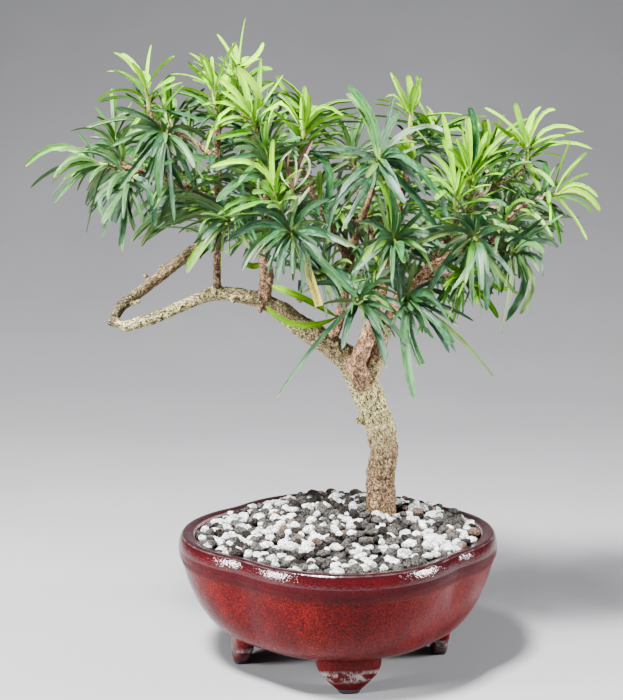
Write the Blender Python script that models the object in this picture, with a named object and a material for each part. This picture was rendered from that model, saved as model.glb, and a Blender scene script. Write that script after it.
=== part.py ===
# A buddhist pine, Podocarpus macrophyllus, trained as a bonsai in a round pot with four lobes.
# Metres, +Z up. Places are measured from the middle of the pot, with the table at height 0.
# +X is the viewer's right and -Y faces the viewer. An empty then sets the whole bonsai so that the
# origin lies under the middle of its bounding box.

import math
import random
from collections import namedtuple

import bmesh
import bpy
from mathutils import Matrix, Vector
from mathutils.bvhtree import BVHTree

POT_PLACE = Vector((0.0185, 0.0, 0.0))
GAP = 0.0003

# Pot: an 8 inch round pot, measured at the middle of a lobe.
POT_RADIUS = 0.104
POT_YAW = math.radians(5)
POT_SIDES = 40
LOBE_OFFSET = 0.25
LOBE_RADIUS = 0.75
NOTCH_SOFTNESS = math.radians(7)
DRAIN_RADIUS = 0.011
FLOOR_RADIUS = 0.0590
FLOOR_BOTTOM = 0.0205
FLOOR_TOP = 0.0275
BELLY_HEIGHT = 0.0455
# Each row is the radius, the height, and how deep the notches are there, from 0 to 1.
POT_OUTSIDE = (
    (DRAIN_RADIUS, FLOOR_BOTTOM, 0.0),
    (FLOOR_RADIUS, FLOOR_BOTTOM, 0.3),
    (0.0690, 0.0214, 0.35),
    (0.0762, 0.0242, 0.4),
    (0.0828, 0.0292, 0.45),
    (0.0886, 0.0362, 0.55),
    (0.0938, 0.0452, 0.65),
    (0.0983, 0.0560, 0.8),
    (0.1008, 0.0660, 0.9),
    (0.1028, 0.0687, 1.0),
    (POT_RADIUS, 0.0780, 1.0),
    (0.1020, 0.0852, 1.0),
)
POT_INSIDE = (
    (0.0965, 0.0850, 1.0),
    (0.0935, 0.0835, 1.0),
    (0.0922, 0.0760, 1.0),
    (0.0905, 0.0600, 0.8),
    (0.0852, BELLY_HEIGHT, 0.6),
    (0.0745, 0.0330, 0.4),
    (0.0610, FLOOR_TOP, 0.3),
    (DRAIN_RADIUS, FLOOR_TOP, 0.0),
)

# Feet: how far out and at what angle each one stands on the table, how far in its top leans, and
# rows of height, half width along the rim and half depth.
FEET = (
    (0.0670, math.radians(3.5)),
    (0.0640, math.radians(95)),
    (0.0645, math.radians(191)),
    (0.0625, math.radians(275)),
)
FOOT_LEAN = 0.0015
FOOT_ROWS = (
    (0.0, 0.0065, 0.0048),
    (0.0030, 0.0088, 0.0054),
    (0.0058, 0.0118, 0.0058),
    (0.0088, 0.0150, 0.0062),
    (0.0125, 0.0180, 0.0067),
    (0.0170, 0.0200, 0.0072),
    (0.0255, 0.0200, 0.0070),
)

# Screen over the drainage hole: a square plate with rows of square meshes.
SCREEN_SIDE = 0.034
SCREEN_THICKNESS = 0.0012
SCREEN_MESHES = 3
SCREEN_BAR = 0.0026
SCREEN_POCKET = 0.0255

# Soil and the gravel on it. The gravel is mounded towards the trunk.
SOIL_TOP = 0.0700
SOIL_SIDE_GAP = 0.0006
GRAVEL_EDGE = 0.0800
GRAVEL_RISE = 0.0125
GRAVEL_PEAK = Vector((0.014, 0.028))
GRAIN_SPACING = 0.0152
GRAIN_RELIEF = 0.0046
# How far the layer is built past its bed below and above, before it is cut to shape.
BED_MARGIN = 0.020

# Trunk and left limb in one run, from inside the soil up to the fork, out to the hairpin at the
# far left and back into the leaves. Each row is x, y, z and the radius.
TRUNK_LINE = (
    (0.030, 0.027, 0.052, 0.0085),
    (0.029, 0.027, 0.068, 0.0105),
    (0.029, 0.027, 0.096, 0.0102),
    (0.029, 0.027, 0.112, 0.0098),
    (0.031, 0.026, 0.131, 0.0095),
    (0.029, 0.025, 0.145, 0.0099),
    (0.024, 0.025, 0.158, 0.0106),
    (0.020, 0.024, 0.170, 0.0103),
    (0.015, 0.024, 0.182, 0.0100),
    (0.007, 0.023, 0.193, 0.0088),
    (-0.005, 0.022, 0.203, 0.0078),
    (-0.025, 0.020, 0.216, 0.0069),
    (-0.036, 0.018, 0.225, 0.0062),
    (-0.050, 0.015, 0.233, 0.0052),
    (-0.067, 0.012, 0.237, 0.0047),
    (-0.080, 0.009, 0.238, 0.0045),
    (-0.099, 0.006, 0.231, 0.0039),
    (-0.119, 0.004, 0.222, 0.0036),
    (-0.136, 0.003, 0.217, 0.0037),
    (-0.145, 0.005, 0.220, 0.0040),
    (-0.141, 0.010, 0.229, 0.0038),
    (-0.129, 0.016, 0.238, 0.0036),
    (-0.114, 0.021, 0.250, 0.0036),
    (-0.100, 0.026, 0.261, 0.0035),
    (-0.083, 0.033, 0.275, 0.0031),
    (-0.066, 0.039, 0.290, 0.0027),
    (-0.050, 0.043, 0.307, 0.0023),
)
# The other limbs start inside the one that they grow from.
LIMB_LINES = {
    "stub": (
        (0.024, 0.025, 0.154, 0.0040),
        (0.0165, 0.022, 0.153, 0.0034),
        (0.0115, 0.020, 0.1525, 0.0024),
    ),
    "left_riser": (
        (-0.078, 0.010, 0.238, 0.0030),
        (-0.078, 0.005, 0.260, 0.0028),
        (-0.077, 0.001, 0.280, 0.0028),
        (-0.076, -0.002, 0.308, 0.0026),
        (-0.076, -0.004, 0.332, 0.0022),
        (-0.075, -0.006, 0.349, 0.0018),
    ),
    "left_reddish": (
        (-0.076, -0.003, 0.322, 0.0020),
        (-0.092, -0.006, 0.335, 0.0019),
        (-0.106, -0.009, 0.341, 0.0018),
        (-0.116, -0.011, 0.346, 0.0016),
    ),
    "left_low": (
        (-0.0765, 0.000, 0.296, 0.0022),
        (-0.096, -0.003, 0.306, 0.0020),
        (-0.114, -0.006, 0.312, 0.0018),
        (-0.127, -0.009, 0.316, 0.0016),
    ),
    "left_back": (
        (-0.077, 0.036, 0.280, 0.0024),
        (-0.092, 0.034, 0.296, 0.0021),
        (-0.106, 0.028, 0.311, 0.0018),
    ),
    "riser": (
        (-0.049, 0.016, 0.231, 0.0058),
        (-0.046, 0.012, 0.248, 0.0050),
        (-0.049, 0.008, 0.269, 0.0043),
        (-0.045, 0.001, 0.291, 0.0035),
        (-0.045, -0.006, 0.316, 0.0028),
        (-0.053, -0.008, 0.336, 0.0022),
        (-0.060, -0.005, 0.350, 0.0018),
    ),
    "riser_back": (
        (-0.048, 0.010, 0.262, 0.0030),
        (-0.040, 0.022, 0.281, 0.0027),
        (-0.032, 0.034, 0.303, 0.0023),
        (-0.029, 0.042, 0.322, 0.0018),
    ),
    "riser_front": (
        (-0.048, 0.006, 0.274, 0.0026),
        (-0.040, -0.010, 0.278, 0.0023),
        (-0.034, -0.024, 0.280, 0.0019),
    ),
    "middle": (
        (-0.006, 0.022, 0.203, 0.0046),
        (0.000, 0.015, 0.217, 0.0039),
        (0.003, 0.011, 0.232, 0.0034),
        (0.005, 0.010, 0.246, 0.0031),
        (0.009, 0.009, 0.268, 0.0028),
        (0.016, 0.005, 0.288, 0.0024),
        (0.021, -0.003, 0.304, 0.0020),
    ),
    "middle_left": (
        (0.007, 0.0095, 0.258, 0.0026),
        (-0.004, 0.003, 0.278, 0.0023),
        (-0.016, -0.005, 0.300, 0.0020),
        (-0.023, -0.010, 0.318, 0.0017),
    ),
    "second": (
        (0.019, 0.023, 0.172, 0.0082),
        (0.012, 0.014, 0.191, 0.0066),
        (0.018, 0.007, 0.207, 0.0058),
        (0.024, 0.004, 0.225, 0.0050),
        (0.029, 0.006, 0.247, 0.0042),
        (0.034, 0.010, 0.272, 0.0035),
        (0.039, 0.010, 0.296, 0.0028),
        (0.043, 0.005, 0.318, 0.0022),
        (0.044, 0.001, 0.332, 0.0018),
    ),
    "second_back": (
        (0.029, 0.007, 0.250, 0.0029),
        (0.024, 0.022, 0.268, 0.0026),
        (0.018, 0.036, 0.289, 0.0022),
        (0.013, 0.045, 0.308, 0.0018),
    ),
    "right": (
        (0.018, 0.024, 0.175, 0.0070),
        (0.024, 0.018, 0.190, 0.0060),
        (0.028, 0.012, 0.208, 0.0052),
        (0.039, 0.006, 0.236, 0.0040),
        (0.056, 0.001, 0.253, 0.0034),
        (0.077, -0.004, 0.267, 0.0028),
        (0.094, -0.010, 0.270, 0.0021),
    ),
    "right_riser": (
        (0.066, -0.002, 0.260, 0.0028),
        (0.073, 0.001, 0.280, 0.0025),
        (0.086, 0.001, 0.298, 0.0022),
        (0.101, -0.001, 0.308, 0.0018),
    ),
    "right_back": (
        (0.056, 0.002, 0.252, 0.0027),
        (0.066, 0.018, 0.266, 0.0024),
        (0.077, 0.033, 0.283, 0.0021),
        (0.086, 0.043, 0.297, 0.0018),
    ),
}
TRUNK_SIDES = 9
LIMB_SIDES = 5
TWIG_SIDES = 4
TWIG_RADIUS = 0.0016
BARK_ROUGHNESS = 0.07
# Main roots: where each ends inside the soil.
ROOT_START = (0.030, 0.027, 0.062)
ROOT_ENDS = (
    (-0.032, 0.000, 0.046),
    (0.006, -0.042, 0.044),
    (0.062, -0.016, 0.047),
    (0.036, 0.066, 0.050),
    (-0.012, 0.056, 0.042),
)
ROOT_RADIUS = 0.0048
ROOT_TIP_RADIUS = 0.0016

# Leafy shoots. A shoot's green stem runs from its base along the stem vector. Leaves stand off it
# at an angle that falls from the low value at its foot to the high value at its top, in degrees.
Shoot = namedtuple("Shoot", "base stem leaves length low high")
SHOOTS = {
    "left_top": Shoot((-0.117, -0.012, 0.352), (-0.002, -0.003, 0.018), 6, 0.036, 80, 22),
    "left_upper": Shoot((-0.139, 0.001, 0.324), (-0.003, 0.002, 0.015), 6, 0.036, 80, 25),
    "left_tip": Shoot((-0.140, -0.012, 0.318), (-0.013, -0.002, 0.002), 4, 0.044, 75, 25),
    "left_hanging": Shoot((-0.128, -0.018, 0.313), (-0.004, -0.006, -0.011), 5, 0.040, 80, 25),
    "left_inner": Shoot((-0.107, -0.016, 0.340), (0.001, -0.009, -0.004), 6, 0.040, 95, 40),
    "top_left": Shoot((-0.077, -0.008, 0.354), (-0.001, -0.001, 0.016), 7, 0.035, 75, 18),
    "top_tall": Shoot((-0.062, -0.003, 0.356), (-0.001, -0.002, 0.024), 7, 0.038, 75, 15),
    "top_front": Shoot((-0.051, -0.017, 0.338), (-0.003, -0.007, 0.012), 7, 0.042, 90, 25),
    "centre_left": Shoot((-0.044, -0.017, 0.313), (-0.001, -0.006, 0.016), 7, 0.044, 90, 25),
    "bud_left": Shoot((-0.037, -0.030, 0.287), (-0.003, -0.007, 0.017), 7, 0.040, 80, 20),
    "top_centre": Shoot((-0.024, -0.013, 0.326), (0.002, -0.002, 0.017), 6, 0.040, 85, 20),
    "centre": Shoot((0.023, -0.018, 0.316), (0.000, -0.013, 0.006), 6, 0.045, 95, 35),
    "top_right": Shoot((0.044, 0.000, 0.338), (0.001, -0.002, 0.017), 6, 0.038, 85, 18),
    "right_bud": Shoot((0.071, -0.022, 0.289), (-0.001, -0.006, 0.014), 6, 0.040, 85, 25),
    "right_tall": Shoot((0.081, -0.013, 0.297), (-0.001, -0.004, 0.021), 7, 0.042, 85, 18),
    "right_top": Shoot((0.117, 0.000, 0.318), (0.001, -0.002, 0.014), 6, 0.038, 85, 22),
    "right_tip": Shoot((0.124, -0.012, 0.299), (0.011, -0.003, 0.002), 6, 0.040, 85, 28),
    "right_hanging": Shoot((0.103, -0.018, 0.267), (0.006, -0.006, -0.003), 6, 0.042, 90, 35),
    "right_low": Shoot((0.041, -0.016, 0.239), (0.001, -0.012, -0.005), 7, 0.044, 95, 35),
    "left_low": Shoot((-0.030, -0.033, 0.279), (0.001, -0.012, -0.002), 6, 0.045, 95, 40),
    "left_low_side": Shoot((-0.064, -0.010, 0.286), (-0.006, -0.008, -0.003), 6, 0.040, 95, 30),
    "right_low_bud": Shoot((0.076, -0.010, 0.249), (0.003, -0.009, -0.003), 6, 0.036, 95, 30),
    "right_middle": Shoot((0.081, -0.028, 0.277), (0.001, -0.011, -0.004), 6, 0.042, 95, 35),
    "centre_low": Shoot((0.032, -0.022, 0.274), (0.001, -0.012, -0.001), 7, 0.042, 95, 35),
    "low": Shoot((0.012, -0.012, 0.238), (0.000, -0.012, -0.005), 6, 0.046, 95, 35),
    "inner_low": Shoot((-0.008, 0.000, 0.252), (-0.006, -0.007, -0.003), 6, 0.040, 95, 35),
    "back_left_top": Shoot((-0.106, 0.020, 0.338), (-0.004, 0.005, 0.014), 9, 0.040, 85, 22),
    "back_left": Shoot((-0.124, 0.030, 0.312), (-0.010, 0.006, 0.004), 9, 0.040, 90, 28),
    "back_left_low": Shoot((-0.094, 0.042, 0.291), (-0.006, 0.010, -0.002), 9, 0.042, 95, 35),
    "back_top_left": Shoot((-0.072, 0.027, 0.352), (-0.002, 0.005, 0.015), 10, 0.038, 85, 20),
    "back_upper_left": Shoot((-0.050, 0.050, 0.332), (-0.003, 0.008, 0.011), 10, 0.042, 90, 25),
    "back_low_left": Shoot((-0.050, 0.056, 0.299), (-0.003, 0.011, 0.000), 10, 0.044, 95, 35),
    "back_top": Shoot((-0.020, 0.030, 0.345), (0.001, 0.004, 0.014), 10, 0.038, 85, 22),
    "back_centre": Shoot((0.010, 0.052, 0.321), (0.000, 0.009, 0.010), 10, 0.042, 90, 25),
    "back_centre_low": Shoot((0.006, 0.054, 0.286), (-0.001, 0.012, -0.001), 10, 0.044, 95, 35),
    "back_top_right": Shoot((0.060, 0.030, 0.334), (0.002, 0.004, 0.014), 10, 0.038, 85, 22),
    "back_right_top": Shoot((0.095, 0.024, 0.322), (0.003, 0.003, 0.013), 9, 0.038, 85, 22),
    "back_right": Shoot((0.088, 0.052, 0.304), (0.004, 0.009, 0.006), 10, 0.042, 90, 28),
    "back_right_tip": Shoot((0.117, 0.032, 0.293), (0.009, 0.006, 0.003), 9, 0.040, 90, 28),
    "back_right_low": Shoot((0.066, 0.052, 0.271), (0.002, 0.011, -0.003), 10, 0.044, 95, 35),
    "back_low": Shoot((0.032, 0.038, 0.254), (0.001, 0.011, -0.004), 10, 0.044, 95, 35),
    "right_side": Shoot((0.106, 0.012, 0.276), (0.011, 0.002, -0.001), 9, 0.042, 90, 30),
}
# Leaves that stand out on the outline or in front: where each one ends.
SHOWN_TIPS = {
    "left_top": (
        (-0.138, -0.014, 0.388),
        (-0.131, -0.006, 0.388),
        (-0.118, -0.012, 0.392),
        (-0.120, -0.026, 0.381),
        (-0.138, -0.020, 0.375),
        (-0.102, -0.010, 0.386),
    ),
    "left_upper": (
        (-0.142, 0.002, 0.367),
        (-0.130, 0.010, 0.357),
        (-0.153, 0.006, 0.358),
        (-0.160, 0.014, 0.363),
    ),
    "left_tip": (
        (-0.189, -0.024, 0.305),
        (-0.197, -0.006, 0.321),
        (-0.174, -0.032, 0.310),
        (-0.162, -0.016, 0.304),
        (-0.164, 0.002, 0.340),
        (-0.172, -0.020, 0.328),
    ),
    "left_hanging": (
        (-0.154, -0.026, 0.290),
        (-0.142, -0.018, 0.284),
        (-0.133, -0.028, 0.269),
        (-0.146, -0.022, 0.276),
        (-0.119, -0.036, 0.286),
        (-0.113, -0.040, 0.296),
    ),
    "left_inner": (
        (-0.080, -0.040, 0.330),
        (-0.122, -0.040, 0.328),
        (-0.108, -0.040, 0.299),
        (-0.101, -0.028, 0.290),
    ),
    "top_left": (
        (-0.093, -0.004, 0.388),
        (-0.080, -0.012, 0.389),
        (-0.103, -0.018, 0.374),
        (-0.088, -0.016, 0.391),
    ),
    "top_tall": (
        (-0.076, 0.002, 0.400),
        (-0.067, -0.002, 0.408),
        (-0.057, -0.010, 0.392),
        (-0.048, 0.004, 0.395),
        (-0.047, -0.016, 0.377),
        (-0.074, -0.024, 0.368),
    ),
    "top_front": ((-0.081, -0.034, 0.338), (-0.087, -0.016, 0.340), (-0.062, -0.022, 0.379)),
    "centre_left": ((-0.060, -0.030, 0.346), (-0.076, -0.044, 0.317), (-0.030, -0.044, 0.340)),
    "bud_left": ((-0.052, -0.050, 0.321), (-0.046, -0.040, 0.328), (-0.080, -0.050, 0.289)),
    "top_centre": (
        (-0.022, -0.014, 0.368),
        (-0.014, -0.006, 0.367),
        (-0.002, -0.010, 0.367),
        (-0.035, -0.020, 0.361),
        (0.005, -0.004, 0.354),
    ),
    "centre": (
        (-0.017, -0.050, 0.331),
        (0.004, -0.014, 0.367),
        (0.036, -0.056, 0.296),
        (0.053, -0.044, 0.303),
        (0.012, -0.062, 0.308),
        (-0.009, -0.056, 0.296),
    ),
    "top_right": (
        (0.033, -0.004, 0.373),
        (0.043, 0.002, 0.376),
        (0.050, -0.010, 0.373),
        (0.028, 0.010, 0.363),
        (0.055, -0.024, 0.330),
    ),
    "right_bud": (
        (0.062, -0.024, 0.351),
        (0.068, -0.034, 0.354),
        (0.053, -0.050, 0.320),
        (0.051, -0.052, 0.299),
    ),
    "right_tall": (
        (0.061, -0.034, 0.336),
        (0.074, -0.022, 0.346),
        (0.080, -0.014, 0.354),
        (0.100, -0.010, 0.350),
    ),
    "right_top": (
        (0.091, 0.002, 0.355),
        (0.096, -0.010, 0.349),
        (0.110, -0.002, 0.358),
        (0.125, 0.006, 0.354),
        (0.132, -0.008, 0.347),
        (0.151, 0.002, 0.340),
        (0.124, -0.018, 0.302),
    ),
    "right_tip": (
        (0.160, -0.022, 0.291),
        (0.161, -0.008, 0.300),
        (0.152, -0.034, 0.288),
        (0.127, -0.034, 0.284),
        (0.156, 0.002, 0.327),
    ),
    "right_hanging": (
        (0.123, -0.026, 0.256),
        (0.114, -0.040, 0.250),
        (0.097, -0.044, 0.223),
        (0.111, -0.030, 0.229),
        (0.137, -0.014, 0.269),
    ),
    "right_low": (
        (0.045, -0.044, 0.183),
        (0.051, -0.036, 0.198),
        (0.067, -0.040, 0.213),
        (0.096, -0.026, 0.195),
        (0.080, -0.030, 0.230),
        (0.020, -0.038, 0.254),
    ),
    "left_low": (
        (-0.038, -0.068, 0.253),
        (-0.021, -0.070, 0.247),
        (0.000, -0.062, 0.252),
        (0.010, -0.048, 0.243),
        (-0.004, -0.076, 0.276),
        (0.014, -0.066, 0.270),
        (-0.058, -0.064, 0.260),
    ),
    "left_low_side": ((-0.094, -0.026, 0.257), (-0.102, -0.028, 0.287), (-0.084, -0.044, 0.281)),
    "right_low_bud": ((0.099, -0.018, 0.225), (0.084, -0.030, 0.236), (0.103, -0.004, 0.240)),
    "right_middle": ((0.083, -0.058, 0.249), (0.061, -0.062, 0.265), (0.092, -0.066, 0.266)),
    "centre_low": ((0.053, -0.052, 0.284), (0.036, -0.062, 0.263), (0.010, -0.054, 0.262)),
    "low": (
        (0.028, -0.040, 0.199),
        (-0.016, -0.034, 0.234),
        (-0.039, -0.028, 0.185),
        (0.001, -0.048, 0.213),
    ),
    "inner_low": ((-0.008, -0.012, 0.224), (-0.016, -0.018, 0.238)),
}
# Shoots whose leaves are this year's.
YOUNG = (
    "left_top",
    "top_left",
    "top_tall",
    "bud_left",
    "top_centre",
    "top_right",
    "right_bud",
    "right_tall",
    "right_top",
    "right_tip",
    "right_low_bud",
    "back_top_left",
    "back_top",
    "back_top_right",
    "back_right_top",
)

# Leaf: a strap with a keel below, from a point sunk in the stem to a point at the tip. Rows are the
# place along it, the half width and the keel's depth, as shares of the full ones.
LEAF_WIDTH = 0.0054
LEAF_KEEL = 0.0014
LEAF_ROWS = ((0.24, 1.0, 1.0), (0.70, 0.92, 0.9))
LEAF_ROOM = ((0.0, 0.35, 0.7), (0.24, 1.0, 1.0), (0.70, 0.92, 0.9), (1.0, 0.3, 0.3))
LEAF_SINK = 0.0008
LEAF_ROOT_OFFSET = 0.0005
LEAF_CLEARANCE = 0.0005
GOLDEN_ANGLE = math.radians(137.5)
SEED = 7
# Lowest and highest place of a leaf's tip along X, which gives the crown its flat, stepped outline.
CROWN_TOP = (
    (-0.192, 0.322),
    (-0.155, 0.352),
    (-0.136, 0.384),
    (-0.095, 0.386),
    (-0.066, 0.402),
    (-0.044, 0.388),
    (-0.028, 0.365),
    (0.006, 0.357),
    (0.045, 0.372),
    (0.066, 0.354),
    (0.110, 0.353),
    (0.138, 0.343),
    (0.158, 0.312),
)
CROWN_BOTTOM = (
    (-0.192, 0.304),
    (-0.155, 0.286),
    (-0.132, 0.268),
    (-0.105, 0.284),
    (-0.088, 0.264),
    (-0.040, 0.254),
    (-0.012, 0.240),
    (0.012, 0.220),
    (0.045, 0.208),
    (0.072, 0.216),
    (0.104, 0.232),
    (0.122, 0.254),
    (0.158, 0.288),
)
CROWN_FRONT = -0.084
CROWN_BACK = 0.098


def clear_scene():
    for obj in list(bpy.data.objects):
        bpy.data.objects.remove(obj, do_unlink=True)


def make_material(name, colour, roughness, metallic=0.0):
    material = bpy.data.materials.new(name)
    material.use_nodes = True
    shader = material.node_tree.nodes["Principled BSDF"]
    shader.inputs["Base Color"].default_value = (*colour, 1.0)
    shader.inputs["Roughness"].default_value = roughness
    shader.inputs["Metallic"].default_value = metallic
    return material


def object_from(name, bm, material=None):
    """An object from a bmesh that is one closed shape, with its faces turned out."""
    bmesh.ops.recalc_face_normals(bm, faces=bm.faces)
    mesh = bpy.data.meshes.new(name)
    bm.to_mesh(mesh)
    bm.free()
    obj = bpy.data.objects.new(name, mesh)
    bpy.context.scene.collection.objects.link(obj)
    if material:
        mesh.materials.append(material)
    return obj


def loft(rings, looped=False):
    """A bmesh through rings of points. It is capped at both ends, or looped back to the first ring."""
    bm = bmesh.new()
    rows = [[bm.verts.new(point) for point in ring] for ring in rings]
    pairs = list(zip(rows, rows[1:] + rows[:1])) if looped else list(zip(rows, rows[1:]))
    for first, second in pairs:
        count = len(first)
        for i in range(count):
            j = (i + 1) % count
            bm.faces.new((first[i], first[j], second[j], second[i]))
    if not looped:
        bm.faces.new(rows[0])
        bm.faces.new(rows[-1])
    return bm


def boolean(obj, others, operation):
    """Joins others to obj, or cuts them from it, applies that and removes them."""
    group = bpy.data.collections.new("operands")
    bpy.context.scene.collection.children.link(group)
    for other in others:
        for owner in list(other.users_collection):
            owner.objects.unlink(other)
        group.objects.link(other)
    modifier = obj.modifiers.new("join", "BOOLEAN")
    modifier.operation = operation
    modifier.solver = "EXACT"
    modifier.operand_type = "COLLECTION"
    modifier.collection = group
    with bpy.context.temp_override(object=obj, active_object=obj):
        bpy.ops.object.modifier_apply(modifier=modifier.name)
    for other in others:
        bpy.data.objects.remove(other, do_unlink=True)
    bpy.data.collections.remove(group)


def smooth_shading(obj, angle=40):
    obj.data.shade_smooth()
    obj.data.set_sharp_from_angle(angle=math.radians(angle))


def lobed(angle, notch):
    """The pot's outline at this angle from the middle of a lobe, as a share of its full radius."""
    quarter = math.pi / 4
    from_notch = quarter - abs((angle + quarter) % (2 * quarter) - quarter)
    softness = NOTCH_SOFTNESS
    share = (math.hypot(from_notch, softness) - softness) / (math.hypot(quarter, softness) - softness)
    bend = quarter * (1 - share)
    outline = LOBE_OFFSET * math.cos(bend) + math.sqrt(LOBE_RADIUS**2 - (LOBE_OFFSET * math.sin(bend)) ** 2)
    return 1 - notch * (1 - outline)


def lobed_ring(radius, height, notch):
    ring = []
    for i in range(POT_SIDES):
        angle = 2 * math.pi * i / POT_SIDES
        reach = radius * lobed(angle, notch)
        ring.append((reach * math.cos(angle + POT_YAW), reach * math.sin(angle + POT_YAW), height))
    return ring


def make_pot(material):
    """Bowl, rim band, floor with its hole, and four flared feet, fired as one piece."""
    rings = [lobed_ring(*row) for row in POT_OUTSIDE + POT_INSIDE]
    pot = object_from("pot", loft(rings, looped=True), material)
    feet = []
    for radius, angle in FEET:
        turn = Matrix.Rotation(angle, 4, "Z")
        rings = []
        for height, half_width, half_depth in FOOT_ROWS:
            place = radius - FOOT_LEAN * height / FLOOR_BOTTOM
            corner = 0.35 * half_depth
            outline = []
            for across, along in ((1, 1), (-1, 1), (-1, -1), (1, -1)):
                first = (across * half_depth, along * (half_width - corner))
                second = (across * (half_depth - corner), along * half_width)
                outline += [first, second] if across * along > 0 else [second, first]
            rings.append([turn @ Vector((place + x, y, height)) for x, y in outline])
        feet.append(object_from("foot", loft(rings)))
    boolean(pot, feet, "UNION")
    smooth_shading(pot)
    return pot


def make_screen(material):
    """A square plastic screen that keeps the soil in, flat on the floor over the drainage hole."""
    bm = bmesh.new()
    pitch = (SCREEN_SIDE - SCREEN_BAR) / SCREEN_MESHES
    lines = []
    for i in range(SCREEN_MESHES + 1):
        lines += [i * pitch - SCREEN_SIDE / 2, i * pitch + SCREEN_BAR - SCREEN_SIDE / 2]
    verts = {(i, j): bm.verts.new((x, y, 0)) for i, x in enumerate(lines) for j, y in enumerate(lines)}
    for i in range(len(lines) - 1):
        for j in range(len(lines) - 1):
            if not (i % 2 and j % 2):
                bm.faces.new((verts[i, j], verts[i + 1, j], verts[i + 1, j + 1], verts[i, j + 1]))
    made = bmesh.ops.extrude_face_region(bm, geom=list(bm.faces))
    raised = [item for item in made["geom"] if isinstance(item, bmesh.types.BMVert)]
    bmesh.ops.translate(bm, verts=raised, vec=(0, 0, SCREEN_THICKNESS))
    bmesh.ops.rotate(bm, verts=bm.verts, matrix=Matrix.Rotation(POT_YAW, 3, "Z"))
    bmesh.ops.translate(bm, verts=bm.verts, vec=(0, 0, FLOOR_TOP + GAP))
    return object_from("drain_screen", bm, material)


def inner_radius(height):
    """Radius and notch depth of the pot's inner wall at this height."""
    wall = POT_INSIDE[1:-1]
    for (high_radius, high, high_notch), (low_radius, low, low_notch) in zip(wall, wall[1:]):
        if low <= height <= high:
            share = (height - low) / (high - low)
            radius = low_radius + share * (high_radius - low_radius)
            return radius, low_notch + share * (high_notch - low_notch)
    return wall[0][0], wall[0][2]


def make_soil(material):
    """The potting soil, from the floor up to the gravel, with a raised pocket over the screen."""
    over_screen = FLOOR_TOP + SCREEN_THICKNESS + 2 * GAP
    rings = [
        lobed_ring(SCREEN_POCKET, over_screen, 0.0),
        lobed_ring(SCREEN_POCKET, FLOOR_TOP + GAP, 0.0),
        lobed_ring(FLOOR_RADIUS, FLOOR_TOP + GAP, 0.3),
    ]
    for height in (BELLY_HEIGHT, SOIL_TOP):
        radius, notch = inner_radius(height)
        rings.append(lobed_ring(radius - SOIL_SIDE_GAP, height, notch))
    return object_from("soil", loft(rings), material)


def gravel_height(x, y):
    away = (Vector((x, y)) - GRAVEL_PEAK).length / POT_RADIUS
    return GRAVEL_EDGE + GRAVEL_RISE * math.exp(-2.2 * away * away)


def grain_centres(rng):
    """Middles of the grains, in rows like a honeycomb, each moved a little at random."""
    rows = int(1.15 * POT_RADIUS / (GRAIN_SPACING * 0.866)) + 1
    columns = int(1.15 * POT_RADIUS / GRAIN_SPACING) + 1
    centres = {}
    for row in range(-rows, rows + 1):
        for column in range(-columns, columns + 1):
            x = (column + 0.5 * (row % 2)) * GRAIN_SPACING + rng.uniform(-0.2, 0.2) * GRAIN_SPACING
            y = row * GRAIN_SPACING * 0.866 + rng.uniform(-0.2, 0.2) * GRAIN_SPACING
            centres[column, row] = Vector((x, y))
    return centres


def grain_neighbours(column, row):
    shift = row % 2
    return (
        (column + 1, row),
        (column + shift, row + 1),
        (column + shift - 1, row + 1),
        (column - 1, row),
        (column + shift - 1, row - 1),
        (column + shift, row - 1),
    )


def make_gravel(material):
    """The top layer of pumice and lava: each grain is a blunt lump that stands out of the layer."""
    rng = random.Random(SEED)
    centres = grain_centres(rng)
    bm = bmesh.new()
    lows = {}

    def low_vert(cells):
        key = frozenset(cells)
        if key not in lows:
            middle = sum((centres[cell] for cell in cells), Vector((0, 0))) / 3
            height = gravel_height(*middle) - rng.uniform(0.4, 0.7) * GRAIN_RELIEF
            lows[key] = bm.verts.new((*middle, height))
        return lows[key]

    for cell, centre in centres.items():
        around = grain_neighbours(*cell)
        if any(neighbour not in centres for neighbour in around):
            continue
        ring = [low_vert((cell, around[i], around[(i + 1) % 6])) for i in range(6)]
        turn = rng.randrange(2)
        ring = ring[turn:] + ring[:turn]
        rise = rng.uniform(0.4, 1.0) * GRAIN_RELIEF
        top = []
        for vert in ring[::2]:
            place = centre + (vert.co.xy - centre) * rng.uniform(0.62, 0.82)
            lift = rise * rng.uniform(0.7, 1.3)
            top.append(bm.verts.new((*place, gravel_height(*place) + lift)))
        for i in range(3):
            j = (i + 1) % 3
            low, middle, high = ring[2 * i], ring[2 * i + 1], ring[(2 * i + 2) % 6]
            bm.faces.new((low, middle, top[i]))
            bm.faces.new((middle, top[j], top[i]))
            bm.faces.new((middle, high, top[j]))
        bm.faces.new(top)
    edges = [edge for edge in bm.edges if edge.is_boundary]
    made = bmesh.ops.extrude_edge_only(bm, edges=edges)
    for item in made["geom"]:
        if isinstance(item, bmesh.types.BMVert):
            item.co.z = SOIL_TOP - BED_MARGIN
    bmesh.ops.holes_fill(bm, edges=[edge for edge in bm.edges if edge.is_boundary], sides=0)
    gravel = object_from("gravel", bm, material)

    rings = []
    for height in (SOIL_TOP + GAP, POT_INSIDE[2][1], POT_INSIDE[1][1], POT_INSIDE[1][1] + BED_MARGIN):
        radius, notch = inner_radius(height)
        rings.append(lobed_ring(radius - GAP, height, notch))
    boolean(gravel, [object_from("bed", loft(rings))], "INTERSECT")
    return gravel


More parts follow.
